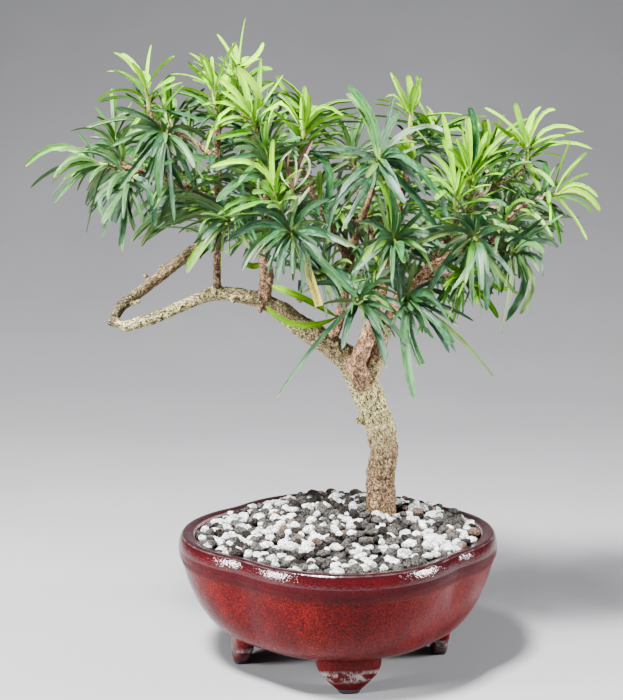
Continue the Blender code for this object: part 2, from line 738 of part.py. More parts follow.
def run_rings(line, sides, roughness=0.0, swell=0.0, seed=0, arrive=None):
    """Rings of points round a run of x, y, z, radius rows. Roughness varies the radius at random, and
    the last ring is square to the arrive direction, if one is given."""
    rng = random.Random(seed)
    points = [Vector(row[:3]) for row in line]
    side = None
    rings = []
    for i, point in enumerate(points):
        along = (points[min(i + 1, len(points) - 1)] - points[max(i - 1, 0)]).normalized()
        if arrive and i == len(points) - 1:
            along = arrive
        start = side or (Vector((0, 1, 0)) if abs(along.y) < 0.8 else Vector((1, 0, 0)))
        side = (start - along * start.dot(along)).normalized()
        other = along.cross(side)
        ring = []
        for k in range(sides):
            angle = 2 * math.pi * k / sides
            radius = line[i][3] * (1 + rng.uniform(-roughness, roughness)) + swell
            ring.append(point + (side * math.cos(angle) + other * math.sin(angle)) * radius)
        rings.append(ring)
    return rings


def curve_line(start, end, leave, arrive, start_radius, end_radius, steps):
    """A run from start to end that leaves and arrives along the two given directions."""
    reach = (end - start).length / 3
    first = start + leave * reach
    second = end - arrive * reach
    line = []
    for i in range(steps + 1):
        t = i / steps
        u = 1 - t
        point = start * u**3 + first * (3 * u * u * t) + second * (3 * u * t * t) + end * t**3
        line.append((*point, start_radius + (end_radius - start_radius) * t))
    return line


def root_lines():
    lines = []
    for end in ROOT_ENDS:
        start = Vector(ROOT_START)
        outward = Vector((end[0] - start.x, end[1] - start.y, 0)).normalized()
        lines.append(curve_line(start, Vector(end), outward, outward - Vector((0, 0, 0.5)), ROOT_RADIUS,
                                ROOT_TIP_RADIUS, 3))
    return lines


def twig_line(shoot, limb_points):
    """A twig from the nearest suitable place on a limb to the shoot's base."""
    base = Vector(shoot.base)
    axis = Vector(shoot.stem).normalized()

    def cost(row):
        return (Vector(row[:3]) - base).length + 2 * max(0.0, row[2] - base.z + 0.004)

    start = min(limb_points, key=cost)
    leave = ((base - Vector(start[:3])).normalized() + Vector((0, 0, 0.4))).normalized()
    first_radius = max(TWIG_RADIUS, min(0.0022, 0.85 * start[3]))
    steps = 3 if (base - Vector(start[:3])).length > 0.018 else 2
    return curve_line(Vector(start[:3]), base, leave, axis, first_radius, TWIG_RADIUS, steps)


def limb_samples():
    """Places along the limbs where a twig may grow, with the limb's radius there."""
    samples = []
    for name, line in [("trunk", TRUNK_LINE[11:]), *LIMB_LINES.items()]:
        if name == "stub":
            continue
        rows = line[2:] if name in ("second", "right", "middle") else line[1:]
        for first, second in zip(rows, rows[1:]):
            samples += [tuple(a + (b - a) * t for a, b in zip(first, second)) for t in (0, 0.5)]
        samples.append(rows[-1])
    return samples


def make_tree(material):
    """Trunk, limbs, twigs and main roots, grown as one piece. Each twig ends flat below its shoot."""
    tree = object_from("tree", loft(run_rings(TRUNK_LINE, TRUNK_SIDES, BARK_ROUGHNESS, seed=1)), material)
    pieces = []
    for seed, line in enumerate(LIMB_LINES.values()):
        pieces.append(object_from("limb", loft(run_rings(line, LIMB_SIDES, BARK_ROUGHNESS, seed=seed + 2))))
    for line in root_lines():
        pieces.append(object_from("root", loft(run_rings(line, TWIG_SIDES))))
    samples = limb_samples()
    for shoot in SHOOTS.values():
        axis = Vector(shoot.stem).normalized()
        rings = run_rings(twig_line(shoot, samples), TWIG_SIDES, arrive=axis)
        pieces.append(object_from("twig", loft(rings)))
    boolean(tree, pieces, "UNION")
    smooth_shading(tree, 50)
    return tree


def cut_for_roots(obj):
    """Takes the room of the trunk's foot and the roots out of the soil or the gravel."""
    trunk = run_rings(TRUNK_LINE[:5], TRUNK_SIDES, BARK_ROUGHNESS, 2 * GAP, seed=1)
    cutters = [object_from("foot", loft(trunk))]
    if obj.name == "soil":
        for line in root_lines():
            end = Vector(line[-1][:3])
            onward = (end - Vector(line[-2][:3])).normalized()
            longer = line[:-1] + [(*(end + onward * 2 * GAP), line[-1][3])]
            cutters.append(object_from("root", loft(run_rings(longer, TWIG_SIDES, swell=2 * GAP))))
    boolean(obj, cutters, "DIFFERENCE")


Leaf = namedtuple("Leaf", "root tip sag width side twist")


def leaf_at(leaf, t):
    """Place, sideways direction and upward normal of a leaf at t, from 0 at its root to 1 at its tip."""
    reach = leaf.tip - leaf.root
    drop = Vector((0, 0, -leaf.sag * reach.length))
    start = reach - drop
    place = leaf.root + start * t + drop * (t * t)
    along = (start + drop * (2 * t)).normalized()
    side = (leaf.side - along * leaf.side.dot(along)).normalized()
    side = Matrix.Rotation(leaf.twist * t, 3, along) @ side
    return place, side, side.cross(along)


def leaf_ring(leaf, row, swell=0.0):
    """The three corners of a leaf at one of its rows: two edges and the keel, swollen on request."""
    t, width, keel = row
    place, side, up = leaf_at(leaf, t)
    half = width * leaf.width / 2 + swell
    rim = place + up * swell
    return [rim + side * half, rim - side * half, place - up * (keel * LEAF_KEEL + swell)]


def blade(leaf):
    """A bmesh of a leaf, each of whose three sides is split alike, so that they never cross."""
    bm = bmesh.new()
    along = (leaf.tip - leaf.root).normalized()
    point = bm.verts.new(leaf.root - along * LEAF_SINK)
    rings = [[bm.verts.new(corner) for corner in leaf_ring(leaf, row)] for row in LEAF_ROWS]
    end = bm.verts.new(leaf.tip)
    for k in range(3):
        m = (k + 1) % 3
        bm.faces.new((point, rings[0][k], rings[0][m]))
        bm.faces.new((rings[-1][m], rings[-1][k], end))
        for first, second in zip(rings, rings[1:]):
            bm.faces.new((first[k], second[k], second[m]))
            bm.faces.new((first[k], second[m], first[m]))
    return bm


class Obstacle:
    """A closed shape that leaves keep clear of, with its box for a quick first test."""

    def __init__(self, verts, faces, owner):
        self.low = [min(vert[i] for vert in verts) for i in range(3)]
        self.high = [max(vert[i] for vert in verts) for i in range(3)]
        self.tree = BVHTree.FromPolygons(verts, faces)
        self.owner = owner

    def hits(self, other):
        apart = any(self.low[i] > other.high[i] or other.low[i] > self.high[i] for i in range(3))
        return not apart and bool(self.tree.overlap(other.tree))


def leaf_obstacle(leaf, owner, start=0.0):
    rows = [(max(t, start), width, keel) for t, width, keel in LEAF_ROOM]
    return obstacle_from_rings([leaf_ring(leaf, row, LEAF_CLEARANCE) for row in rows], owner)


def between(table, x):
    """The value at x on a broken line of (x, value) rows."""
    for (x0, v0), (x1, v1) in zip(table, table[1:]):
        if x0 <= x <= x1:
            return v0 + (v1 - v0) * (x - x0) / (x1 - x0)
    return None


def inside_crown(tip):
    top = between(CROWN_TOP, tip.x)
    return (top is not None and between(CROWN_BOTTOM, tip.x) < tip.z < top
            and CROWN_FRONT < tip.y < CROWN_BACK)


def leaf_side(direction, axis, roll):
    """The sideways direction that turns a leaf's upper face towards the shoot's top."""
    outward = direction - axis * direction.dot(axis)
    face = axis - outward * 0.5
    side = direction.cross(face).normalized()
    return Matrix.Rotation(roll, 3, direction.normalized()) @ side


def shown_leaf(shoot, tip, rng, slack):
    """A leaf that ends at a given place, give or take the slack."""
    base = Vector(shoot.base)
    stem = Vector(shoot.stem)
    axis = stem.normalized()
    tip = Vector(tip) + Vector((rng.gauss(0, slack), rng.gauss(0, slack), rng.gauss(0, slack)))
    upward = (tip - base).normalized().dot(axis)
    height = min(0.92, max(0.2, 0.45 + 0.5 * upward + rng.uniform(-0.1, 0.1)))
    outward = tip - base - axis * (tip - base).dot(axis)
    root = base + stem * height + outward.normalized() * LEAF_ROOT_OFFSET
    reach = tip - root
    level = math.hypot(reach.x, reach.y) / reach.length
    sag = 0.05 + 0.22 * level + rng.uniform(-0.04, 0.04)
    width = LEAF_WIDTH * rng.uniform(0.92, 1.12)
    side = leaf_side(reach, axis, rng.uniform(-0.5, 0.5))
    return Leaf(root, tip, sag, width, side, rng.uniform(-0.3, 0.3))


def grown_leaf(shoot, share, turn, rng):
    """A leaf placed by the spiral along the stem."""
    base = Vector(shoot.base)
    stem = Vector(shoot.stem)
    axis = stem.normalized()
    across = axis.orthogonal().normalized()
    outward = Matrix.Rotation(turn, 3, axis) @ across
    angle = math.radians(shoot.low + (shoot.high - shoot.low) * share + rng.uniform(-14, 14))
    length = shoot.length * rng.uniform(0.78, 1.18) * (1 - 0.2 * share)
    root = base + stem * (0.2 + 0.72 * share) + outward * LEAF_ROOT_OFFSET
    direction = axis * math.cos(angle) + outward * math.sin(angle)
    level = math.hypot(direction.x, direction.y)
    sag = 0.04 + rng.uniform(0.08, 0.26) * level
    tip = root + (direction - Vector((0, 0, 0.6 * sag))) * length
    width = LEAF_WIDTH * rng.uniform(0.85, 1.08)
    side = leaf_side(tip - root, axis, rng.uniform(-0.4, 0.4))
    return Leaf(root, tip, sag, width, side, rng.uniform(-0.35, 0.35))


def stem_line(shoot):
    """The green stem, from just past the twig's flat end to its thin top."""
    base = Vector(shoot.base)
    stem = Vector(shoot.stem)
    axis = stem.normalized()
    return (
        (*(base + axis * GAP), TWIG_RADIUS),
        (*(base + stem * 0.9), TWIG_RADIUS),
        (*(base + stem * 1.05), 0.6 * TWIG_RADIUS),
    )


def obstacle_from_rings(rings, owner):
    verts = [point for ring in rings for point in ring]
    count = len(rings[0])
    faces = [tuple(range(count)), tuple(range(len(verts) - count, len(verts)))]
    for row in range(len(rings) - 1):
        for i in range(count):
            j = (i + 1) % count
            a = row * count
            b = a + count
            faces.append((a + i, a + j, b + j, b + i))
    return Obstacle(verts, faces, owner)


def place_leaves(tree):
    """Draws every leaf in turn and keeps those that clear the tree, the stems and all leaves so far."""
    rng = random.Random(SEED)
    corners = [vert.co for vert in tree.data.vertices]
    solid = Obstacle(corners, [tuple(face.vertices) for face in tree.data.polygons], None)
    stems = [obstacle_from_rings(run_rings(stem_line(shoot), TWIG_SIDES, swell=GAP), name)
             for name, shoot in SHOOTS.items()]
    outer_leaves = []
    whole_leaves = []
    leaves = {name: [] for name in SHOOTS}

    def keep(name, leaf):
        whole = leaf_obstacle(leaf, name)
        if solid.hits(whole) or any(stem.hits(whole) for stem in stems if stem.owner != name):
            return False
        if any(other.hits(whole) for other in whole_leaves if other.owner != name):
            return False
        outer = leaf_obstacle(leaf, name, 0.06)
        if any(other.hits(outer) for other in outer_leaves if other.owner == name):
            return False
        whole_leaves.append(whole)
        outer_leaves.append(outer)
        leaves[name].append(leaf)
        return True

    for name, tips in SHOWN_TIPS.items():
        for tip in tips:
            for attempt in range(30):
                if keep(name, shown_leaf(SHOOTS[name], tip, rng, 0.0003 * attempt)):
                    break
    for number in range(max(shoot.leaves for shoot in SHOOTS.values())):
        for name, shoot in SHOOTS.items():
            if number >= shoot.leaves:
                continue
            for attempt in range(40):
                share = min(1.0, max(0.0, (number + 0.5) / shoot.leaves + rng.uniform(-0.08, 0.08)))
                turn = number * GOLDEN_ANGLE + attempt * rng.uniform(0.0, 0.6)
                leaf = grown_leaf(shoot, share, turn, rng)
                if inside_crown(leaf.tip) and keep(name, leaf):
                    break
    return leaves


def make_shoot(name, leaves, material):
    """One green stem with its leaves sunk into it."""
    shoot = object_from("shoot_" + name, loft(run_rings(stem_line(SHOOTS[name]), TWIG_SIDES)), material)
    boolean(shoot, [object_from("leaf", blade(leaf)) for leaf in leaves], "UNION")
    smooth_shading(shoot, 60)
    return shoot


def main():
    clear_scene()
    glaze = make_material("oxblood_glaze", (0.20, 0.012, 0.016), 0.18)
    plastic = make_material("black_plastic", (0.02, 0.02, 0.02), 0.5)
    earth = make_material("potting_soil", (0.06, 0.04, 0.03), 0.95)
    stones = make_material("pumice_and_lava", (0.42, 0.42, 0.41), 0.9)
    bark = make_material("bark", (0.33, 0.25, 0.16), 0.85)
    young = make_material("young_leaf", (0.32, 0.52, 0.07), 0.45)
    mature = make_material("mature_leaf", (0.06, 0.17, 0.07), 0.4)

    pieces = [make_pot(glaze), make_screen(plastic), make_soil(earth), make_gravel(stones)]
    tree = make_tree(bark)
    for obj in pieces[2:]:
        cut_for_roots(obj)
    pieces.append(tree)
    for name, leaves in place_leaves(tree).items():
        pieces.append(make_shoot(name, leaves, young if name in YOUNG else mature))

    bonsai = bpy.data.objects.new("bonsai", None)
    bpy.context.scene.collection.objects.link(bonsai)
    bonsai.location = POT_PLACE
    for piece in pieces:
        piece.parent = bonsai


main()
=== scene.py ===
import math
import random

import bpy
import numpy as np
from mathutils import Matrix, Vector, noise
from mathutils.bvhtree import BVHTree


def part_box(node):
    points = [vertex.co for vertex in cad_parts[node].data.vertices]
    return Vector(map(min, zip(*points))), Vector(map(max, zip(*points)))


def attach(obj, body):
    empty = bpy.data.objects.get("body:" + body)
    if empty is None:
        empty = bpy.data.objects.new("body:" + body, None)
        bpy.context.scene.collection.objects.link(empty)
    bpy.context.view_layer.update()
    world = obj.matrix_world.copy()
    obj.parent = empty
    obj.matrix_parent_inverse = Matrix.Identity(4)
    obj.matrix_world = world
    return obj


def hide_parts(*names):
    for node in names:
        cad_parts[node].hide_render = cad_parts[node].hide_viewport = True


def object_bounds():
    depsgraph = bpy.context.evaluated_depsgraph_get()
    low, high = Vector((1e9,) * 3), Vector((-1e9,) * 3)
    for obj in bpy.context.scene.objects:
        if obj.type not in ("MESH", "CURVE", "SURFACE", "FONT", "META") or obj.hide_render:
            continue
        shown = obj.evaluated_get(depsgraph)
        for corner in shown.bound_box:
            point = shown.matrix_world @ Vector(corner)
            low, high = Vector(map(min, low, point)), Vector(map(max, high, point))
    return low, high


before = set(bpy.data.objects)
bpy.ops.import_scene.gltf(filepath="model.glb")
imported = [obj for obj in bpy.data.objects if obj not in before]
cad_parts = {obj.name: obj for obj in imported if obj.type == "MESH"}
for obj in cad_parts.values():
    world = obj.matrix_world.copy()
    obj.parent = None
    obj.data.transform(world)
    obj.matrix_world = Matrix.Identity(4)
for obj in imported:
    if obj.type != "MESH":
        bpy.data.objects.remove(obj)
cad_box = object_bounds()


# Camera: it stands in front of the bonsai, level with the leaves, and looks slightly down.
# Places in this file are measured from the foot of the pot's axis, in metres.
pot_low, pot_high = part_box("pot")
POT_AXIS = Vector(((pot_low.x + pot_high.x) / 2, (pot_low.y + pot_high.y) / 2, 0.0))
CAMERA_PLACE = Vector((-0.0174, -0.785, 0.300))
CAMERA_TILT = math.radians(7.1)
PICTURE_HEIGHT = 700
FOCAL_PIXELS = 1236
SENSOR_HEIGHT = 36.0

bpy.ops.object.camera_add(location=POT_AXIS + CAMERA_PLACE, rotation=(math.pi / 2 - CAMERA_TILT, 0, 0))
camera = bpy.context.object
camera.name = "camera"
camera.data.sensor_fit = "VERTICAL"
camera.data.sensor_height = SENSOR_HEIGHT
camera.data.lens = FOCAL_PIXELS / PICTURE_HEIGHT * SENSOR_HEIGHT
bpy.context.scene.camera = camera


# Pot: a stoneware bowl with four lobes, a flat rim band and four cloud feet, glazed oxblood red.
# It is turned as one ring of edges that is drawn up the outside, over the rim and down the inside,
# then pressed in at the notches. The feet are joined on before firing.
POT_SIDES = 144
POT_YAW = math.radians(5)
LOBE_OFFSET = 0.25
LOBE_RADIUS = 0.75
POT_SHRINK = 0.998
# Each row is the radius, the height, how deep the notches are, their softness in degrees, and how
# far the glaze has drawn off the edge there.
POT_ROWS = (
    (0.0112, 0.0207, 0.00, 7, 0.0),
    (0.0122, 0.0205, 0.00, 7, 0.0),
    (0.0400, 0.0205, 0.15, 7, 0.0),
    (0.0600, 0.0205, 0.30, 7, 0.0),
    (0.0655, 0.0209, 0.33, 7, 0.0),
    (0.0705, 0.0219, 0.36, 7, 0.0),
    (0.0762, 0.0242, 0.40, 8, 0.0),
    (0.0800, 0.0266, 0.43, 8, 0.0),
    (0.0832, 0.0293, 0.60, 7, 0.0),
    (0.0862, 0.0326, 0.70, 6, 0.0),
    (0.0890, 0.0364, 0.80, 6, 0.0),
    (0.0917, 0.0408, 0.88, 5, 0.0),
    (0.0941, 0.0455, 0.95, 5, 0.0),
    (0.0963, 0.0504, 1.00, 4, 0.0),
    (0.0984, 0.0560, 1.04, 4, 0.0),
    (0.0999, 0.0612, 1.05, 4, 0.0),
    (0.1009, 0.0650, 1.04, 4, 0.0),
    (0.1017, 0.0678, 1.03, 4, 0.0),
    (0.1024, 0.0694, 1.02, 4, 0.0),
    (0.1030, 0.0708, 1.00, 4, 0.0),
    (0.1036, 0.0720, 1.00, 4, 0.0),
    (0.1040, 0.0752, 1.00, 4, 0.0),
    (0.1038, 0.0784, 1.00, 4, 0.0),
    (0.1032, 0.0810, 1.00, 4, 0.0),
    (0.1025, 0.0829, 1.00, 4, 0.0),
    (0.1017, 0.0843, 1.00, 4, 0.35),
    (0.1008, 0.0850, 1.00, 4, 0.25),
    (0.0995, 0.0851, 1.00, 4, 0.0),
    (0.0978, 0.0849, 1.00, 4, 0.0),
    (0.0966, 0.0847, 1.00, 4, 0.0),
    (0.0959, 0.0843, 1.00, 4, 0.0),
    (0.0952, 0.0841, 1.00, 4, 0.0),
    (0.0945, 0.0843, 1.00, 4, 0.1),
    (0.0939, 0.0841, 1.00, 4, 0.55),
    (0.0935, 0.0833, 1.00, 4, 0.65),
    (0.0932, 0.0818, 1.00, 5, 0.1),
    (0.0923, 0.0762, 1.00, 6, 0.0),
    (0.0905, 0.0600, 0.80, 7, 0.0),
    (0.0852, 0.0455, 0.60, 7, 0.0),
    (0.0745, 0.0330, 0.40, 7, 0.0),
    (0.0612, 0.0276, 0.30, 7, 0.0),
    (0.0400, 0.0275, 0.15, 7, 0.0),
    (0.0122, 0.0275, 0.00, 7, 0.0),
    (0.0112, 0.0273, 0.00, 7, 0.0),
)
# Feet: how far out and at what angle each one stands, how far in its top leans, and rows of height,
# half width along the rim and half depth across it.
FEET = ((0.0670, 3.5), (0.0640, 95), (0.0645, 191), (0.0625, 275))
FOOT_LEAN = 0.0015
FOOT_TOP = 0.0205
FOOT_SIDES = 36
FOOT_ROWS = (
    (0.0000, 0.0058, 0.0042),
    (0.0004, 0.0064, 0.0047),
    (0.0016, 0.0071, 0.0051),
    (0.0026, 0.0080, 0.0053),
    (0.0040, 0.0096, 0.0056),
    (0.0058, 0.0117, 0.0058),
    (0.0072, 0.0134, 0.0060),
    (0.0088, 0.0150, 0.0062),
    (0.0106, 0.0167, 0.0065),
    (0.0125, 0.0179, 0.0067),
    (0.0146, 0.0191, 0.0070),
    (0.0170, 0.0199, 0.0072),
    (0.0205, 0.0202, 0.0072),
    (0.0245, 0.0198, 0.0070),
)
FOOT_ROUNDNESS = 3.0
RIM_GLOSS_START = 0.0770
POT_SMOOTHING = math.radians(35)


def lobed(angle, notch, softness):
    """The pot's outline at this angle from the middle of a lobe, as a share of its full radius."""
    quarter = math.pi / 4
    from_notch = quarter - abs((angle + quarter) % (2 * quarter) - quarter)
    share = (math.hypot(from_notch, softness) - softness) / (math.hypot(quarter, softness) - softness)
    bend = quarter * (1 - share)
    outline = LOBE_OFFSET * math.cos(bend) + math.sqrt(LOBE_RADIUS**2 - (LOBE_OFFSET * math.sin(bend)) ** 2)
    return 1 - notch * (1 - outline)


def deselect_all():
    bpy.ops.object.select_all(action="DESELECT")


def select_only(obj):
    deselect_all()
    obj.select_set(True)
    bpy.context.view_layer.objects.active = obj


def apply_modifiers(obj):
    bpy.context.view_layer.objects.active = obj
    for modifier in list(obj.modifiers):
        bpy.ops.object.modifier_apply(modifier=modifier.name)


def drawn_ring(name, sides, rows):
    """A tube of rings, drawn from a circle through rows of radius and height by extruding its edges."""
    deselect_all()
    bpy.ops.mesh.primitive_circle_add(vertices=sides, radius=rows[0][0], location=(0, 0, rows[0][1]))
    obj = bpy.context.object
    obj.name = name
    bpy.ops.object.transform_apply(location=True, rotation=True, scale=True)
    bpy.ops.object.mode_set(mode="EDIT")
    for (radius, height), (next_radius, next_height) in zip(rows, rows[1:]):
        share = next_radius / radius
        bpy.ops.mesh.extrude_region_move(TRANSFORM_OT_translate={"value": (0, 0, next_height - height)})
        bpy.ops.transform.resize(value=(share, share, 1), center_override=(0, 0, next_height))
    bpy.ops.object.mode_set(mode="OBJECT")
    return obj


def select_open_edges():
    bpy.ops.object.mode_set(mode="EDIT")
    bpy.ops.mesh.select_all(action="DESELECT")
    bpy.ops.mesh.select_mode(type="EDGE")
    bpy.ops.mesh.select_non_manifold()


def outward_faces(obj):
    """Turns all the faces of a closed mesh outwards."""
    bpy.context.view_layer.objects.active = obj
    bpy.ops.object.mode_set(mode="EDIT")
    bpy.ops.mesh.select_all(action="SELECT")
    bpy.ops.mesh.normals_make_consistent(inside=False)
    bpy.ops.object.mode_set(mode="OBJECT")


pot = drawn_ring("glazed_pot", POT_SIDES, [row[:2] for row in POT_ROWS])
select_open_edges()
bpy.ops.mesh.bridge_edge_loops()
bpy.ops.object.mode_set(mode="OBJECT")
glaze_break = pot.data.attributes.new("glaze_break", "FLOAT", "POINT")
for vert in pot.data.vertices:
    radius = vert.co.xy.length
    row = min(POT_ROWS, key=lambda row: abs(row[0] - radius) + abs(row[1] - vert.co.z))
    angle = math.atan2(vert.co.y, vert.co.x)
    reach = POT_SHRINK * radius * lobed(angle, row[2], math.radians(row[3]))
    place = Vector((reach * math.cos(angle + POT_YAW), reach * math.sin(angle + POT_YAW), vert.co.z))
    vert.co = POT_AXIS + place
    glaze_break.data[vert.index].value = row[4]
rounding = pot.modifiers.new("rounding", "SUBSURF")
rounding.levels = rounding.render_levels = 1
apply_modifiers(pot)
outward_faces(pot)

feet = []
for radius, angle in FEET:
    foot = drawn_ring("foot", FOOT_SIDES, [(width, height) for height, width, depth in FOOT_ROWS])
    depth_shares = {height: depth / width for height, width, depth in FOOT_ROWS}
    select_open_edges()
    bpy.ops.mesh.edge_face_add()
    bpy.ops.object.mode_set(mode="OBJECT")
    turn = Matrix.Rotation(math.radians(angle), 3, "Z")
    for vert in foot.data.vertices:
        height = min(depth_shares, key=lambda height: abs(height - vert.co.z))
        along = vert.co.xy.normalized()
        fullness = (abs(along.x) ** FOOT_ROUNDNESS + abs(along.y) ** FOOT_ROUNDNESS) ** (-1 / FOOT_ROUNDNESS)
        across = vert.co.x * fullness * depth_shares[height]
        lean = FOOT_LEAN * vert.co.z / FOOT_TOP
        vert.co = POT_AXIS + turn @ Vector((radius - lean + across, vert.co.y * fullness, vert.co.z))
    outward_faces(foot)
    feet.append(foot)
clay = bpy.data.collections.new("clay")
bpy.context.scene.collection.children.link(clay)
for foot in feet:
    bpy.context.collection.objects.unlink(foot)
    clay.objects.link(foot)
joining = pot.modifiers.new("joining", "BOOLEAN")
joining.operation = "UNION"
joining.solver = "EXACT"
joining.operand_type = "COLLECTION"
joining.collection = clay
apply_modifiers(pot)
for foot in feet:
    bpy.data.objects.remove(foot)
bpy.data.collections.remove(clay)
select_only(pot)
bpy.ops.object.shade_smooth_by_angle(angle=POT_SMOOTHING)


def new_material(name):
    """A material and its node tree, with the principled shader called shader."""
    material = bpy.data.materials.new(name)
    material.use_nodes = True
    material.node_tree.nodes["Principled BSDF"].name = "shader"
    return material, material.node_tree


def add_node(tree, kind, settings=(), **inputs):
    """A shader node with its settings. Its inputs are values or other nodes' outputs."""
    node = tree.nodes.new("ShaderNode" + kind)
    for name, value in dict(settings).items():
        setattr(node, name, value)
    for name, value in inputs.items():
        set_input(tree, node, name.replace("_", " "), value)
    return node


def set_input(tree, node, name, value):
    if isinstance(value, bpy.types.NodeSocket):
        tree.links.new(value, node.inputs[name])
    else:
        node.inputs[name].default_value = value


def set_shader(tree, **inputs):
    for name, value in inputs.items():
        set_input(tree, tree.nodes["shader"], name.replace("_", " "), value)


def object_place(tree, stretch=(1, 1, 1)):
    """The place on the object in metres, stretched on request."""
    place = add_node(tree, "TexCoord").outputs["Object"]
    return add_node(tree, "Mapping", Vector=place, Scale=stretch).outputs[0]


def noise_value(tree, place, scale, detail=4.0, roughness=0.55, distortion=0.0):
    node = add_node(tree, "TexNoise", Vector=place, Scale=scale, Detail=detail, Roughness=roughness,
                    Distortion=distortion)
    return node.outputs[0]


def ramp(tree, value, stops):
    """A colour ramp through stops of a place and a colour or a grey."""
    node = add_node(tree, "ValToRGB", Fac=value)
    elements = node.color_ramp.elements
    while len(elements) < len(stops):
        elements.new(0.5)
    for element, (place, colour) in zip(elements, stops):
        element.position = place
        element.color = (*colour, 1.0) if isinstance(colour, tuple) else (colour, colour, colour, 1.0)
    return node.outputs["Color"]


def mix(tree, share, first, second, blend="MIX"):
    def as_colour(value):
        return (*value, 1.0) if isinstance(value, tuple) and len(value) == 3 else value

    return add_node(tree, "MixRGB", {"blend_type": blend}, Fac=share, Color1=as_colour(first),
                    Color2=as_colour(second)).outputs[0]


def maths(tree, operation, first, second=0.5):
    node = add_node(tree, "Math", {"operation": operation})
    for socket, value in zip(node.inputs, (first, second)):
        if isinstance(value, bpy.types.NodeSocket):
            tree.links.new(value, socket)
        else:
            socket.default_value = value
    return node.outputs[0]


def attribute(tree, name, output="Fac"):
    return add_node(tree, "Attribute", {"attribute_name": name}).outputs[output]


def fade(tree, value, start, end, first, last):
    """Runs from first to last while the value runs from start to end."""
    node = add_node(tree, "MapRange", Value=value, From_Min=start, From_Max=end, To_Min=first, To_Max=last)
    return node.outputs[0]


def wobble(tree, value, spread):
    """A noise turned into a change of up to half the spread either way."""
    return maths(tree, "MULTIPLY", maths(tree, "SUBTRACT", value, 0.5), spread)


def bump(tree, height, distance, strength=1.0, normal=None):
    node = add_node(tree, "Bump", Height=height, Distance=distance, Strength=strength)
    if normal:
        tree.links.new(normal, node.inputs["Normal"])
    return node.outputs[0]


glaze, tree = new_material("oxblood_glaze")
place = object_place(tree)
flow = object_place(tree, (1.0, 1.0, 0.45))
height = add_node(tree, "SeparateXYZ", Vector=add_node(tree, "TexCoord").outputs["Object"]).outputs["Z"]
clouds = noise_value(tree, flow, 42, 6, 0.62, 0.4)
colour = ramp(tree, clouds, ((0.32, (0.048, 0.0015, 0.0017)), (0.47, (0.078, 0.0024, 0.0024)),
                             (0.60, (0.112, 0.0046, 0.0034)), (0.74, (0.150, 0.0095, 0.0054))))
mottle = noise_value(tree, place, 620, 5, 0.8)
colour = mix(tree, ramp(tree, mottle, ((0.42, 0.75), (0.56, 0.0))), colour, (0.020, 0.0012, 0.0024))
freckles = noise_value(tree, place, 1000, 3, 0.6)
colour = mix(tree, ramp(tree, freckles, ((0.54, 0.0), (0.66, 0.42))), colour, (0.215, 0.020, 0.012))
dots = noise_value(tree, place, 1300, 2, 0.5)
colour = mix(tree, ramp(tree, dots, ((0.38, 0.85), (0.45, 0.0))), colour, (0.010, 0.0015, 0.0025))
band = fade(tree, height, 0.066, 0.074, 0.0, 0.80)
colour = mix(tree, band, colour, (0.017, 0.0018, 0.0030))
rim_top = fade(tree, height, 0.0815, 0.0843, 0.0, 0.85)
colour = mix(tree, rim_top, colour, (0.009, 0.0016, 0.0025))
foot_shade = fade(tree, height, 0.014, 0.026, 0.6, 0.0)
colour = mix(tree, foot_shade, colour, (0.030, 0.0020, 0.0030))
# Painted highlight: a speckled grey-white sheen across the faces of the feet, painted into the colour where
# the glaze reflects the lamps.
sheen_height = ramp(tree, maths(tree, "MULTIPLY", height, 40.0),
                   ((0.26, 0.0), (0.38, 1.0), (0.52, 1.0), (0.62, 0.0)))
sheen_speckle = ramp(tree, noise_value(tree, place, 300, 6, 0.85), ((0.46, 0.0), (0.52, 0.8)))
painted_foot_sheen = maths(tree, "MULTIPLY", sheen_height, sheen_speckle)
sheen_patches = ramp(tree, noise_value(tree, place, 75, 2, 0.5), ((0.44, 0.0), (0.50, 1.0)))
colour = mix(tree, maths(tree, "MULTIPLY", painted_foot_sheen, sheen_patches), colour, (0.200, 0.180, 0.180))
edge = attribute(tree, "glaze_break")
ragged = maths(tree, "MULTIPLY", edge, maths(tree, "ADD", noise_value(tree, place, 180, 4, 0.6), 0.45))
colour = mix(tree, ramp(tree, ragged, ((0.25, 0.0), (0.75, 0.8))), colour, (0.20, 0.15, 0.14))
clay_line = maths(tree, "ADD", height, maths(tree, "MULTIPLY", noise_value(tree, place, 160), 0.0012))
bare = ramp(tree, maths(tree, "MULTIPLY", clay_line, 100.0), ((0.33, 1.0), (0.37, 0.0)))
colour = mix(tree, bare, colour, (0.025, 0.027, 0.030))
groove = ramp(tree, maths(tree, "MULTIPLY", height, 10.0),
              ((0.66, 0.0), (0.69, 1.0), (0.715, 1.0), (0.74, 0.0)))
gloss = mix(tree, bare, ramp(tree, mottle, ((0.3, 0.12), (0.7, 0.06))), (0.8, 0.8, 0.8))
gloss = mix(tree, groove, gloss, (0.5, 0.5, 0.5))
peel = noise_value(tree, place, 800, 2, 0.5)
surface = bump(tree, peel, 0.00026, 0.9)
surface = bump(tree, noise_value(tree, place, 110, 2, 0.5), 0.0010, 0.35, surface)
set_shader(tree, Base_Color=colour, Roughness=gloss, Normal=surface, Specular_IOR_Level=0.08)
pooled_glaze = glaze.copy()
pooled_glaze.name = "oxblood_glaze_where_it_pools"
set_shader(pooled_glaze.node_tree, Specular_IOR_Level=0.45)
pot.data.materials.clear()
pot.data.materials.append(glaze)
pot.data.materials.append(pooled_glaze)
for face in pot.data.polygons:
    face.material_index = int(face.center.z > RIM_GLOSS_START)
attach(pot, "root")
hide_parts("pot")


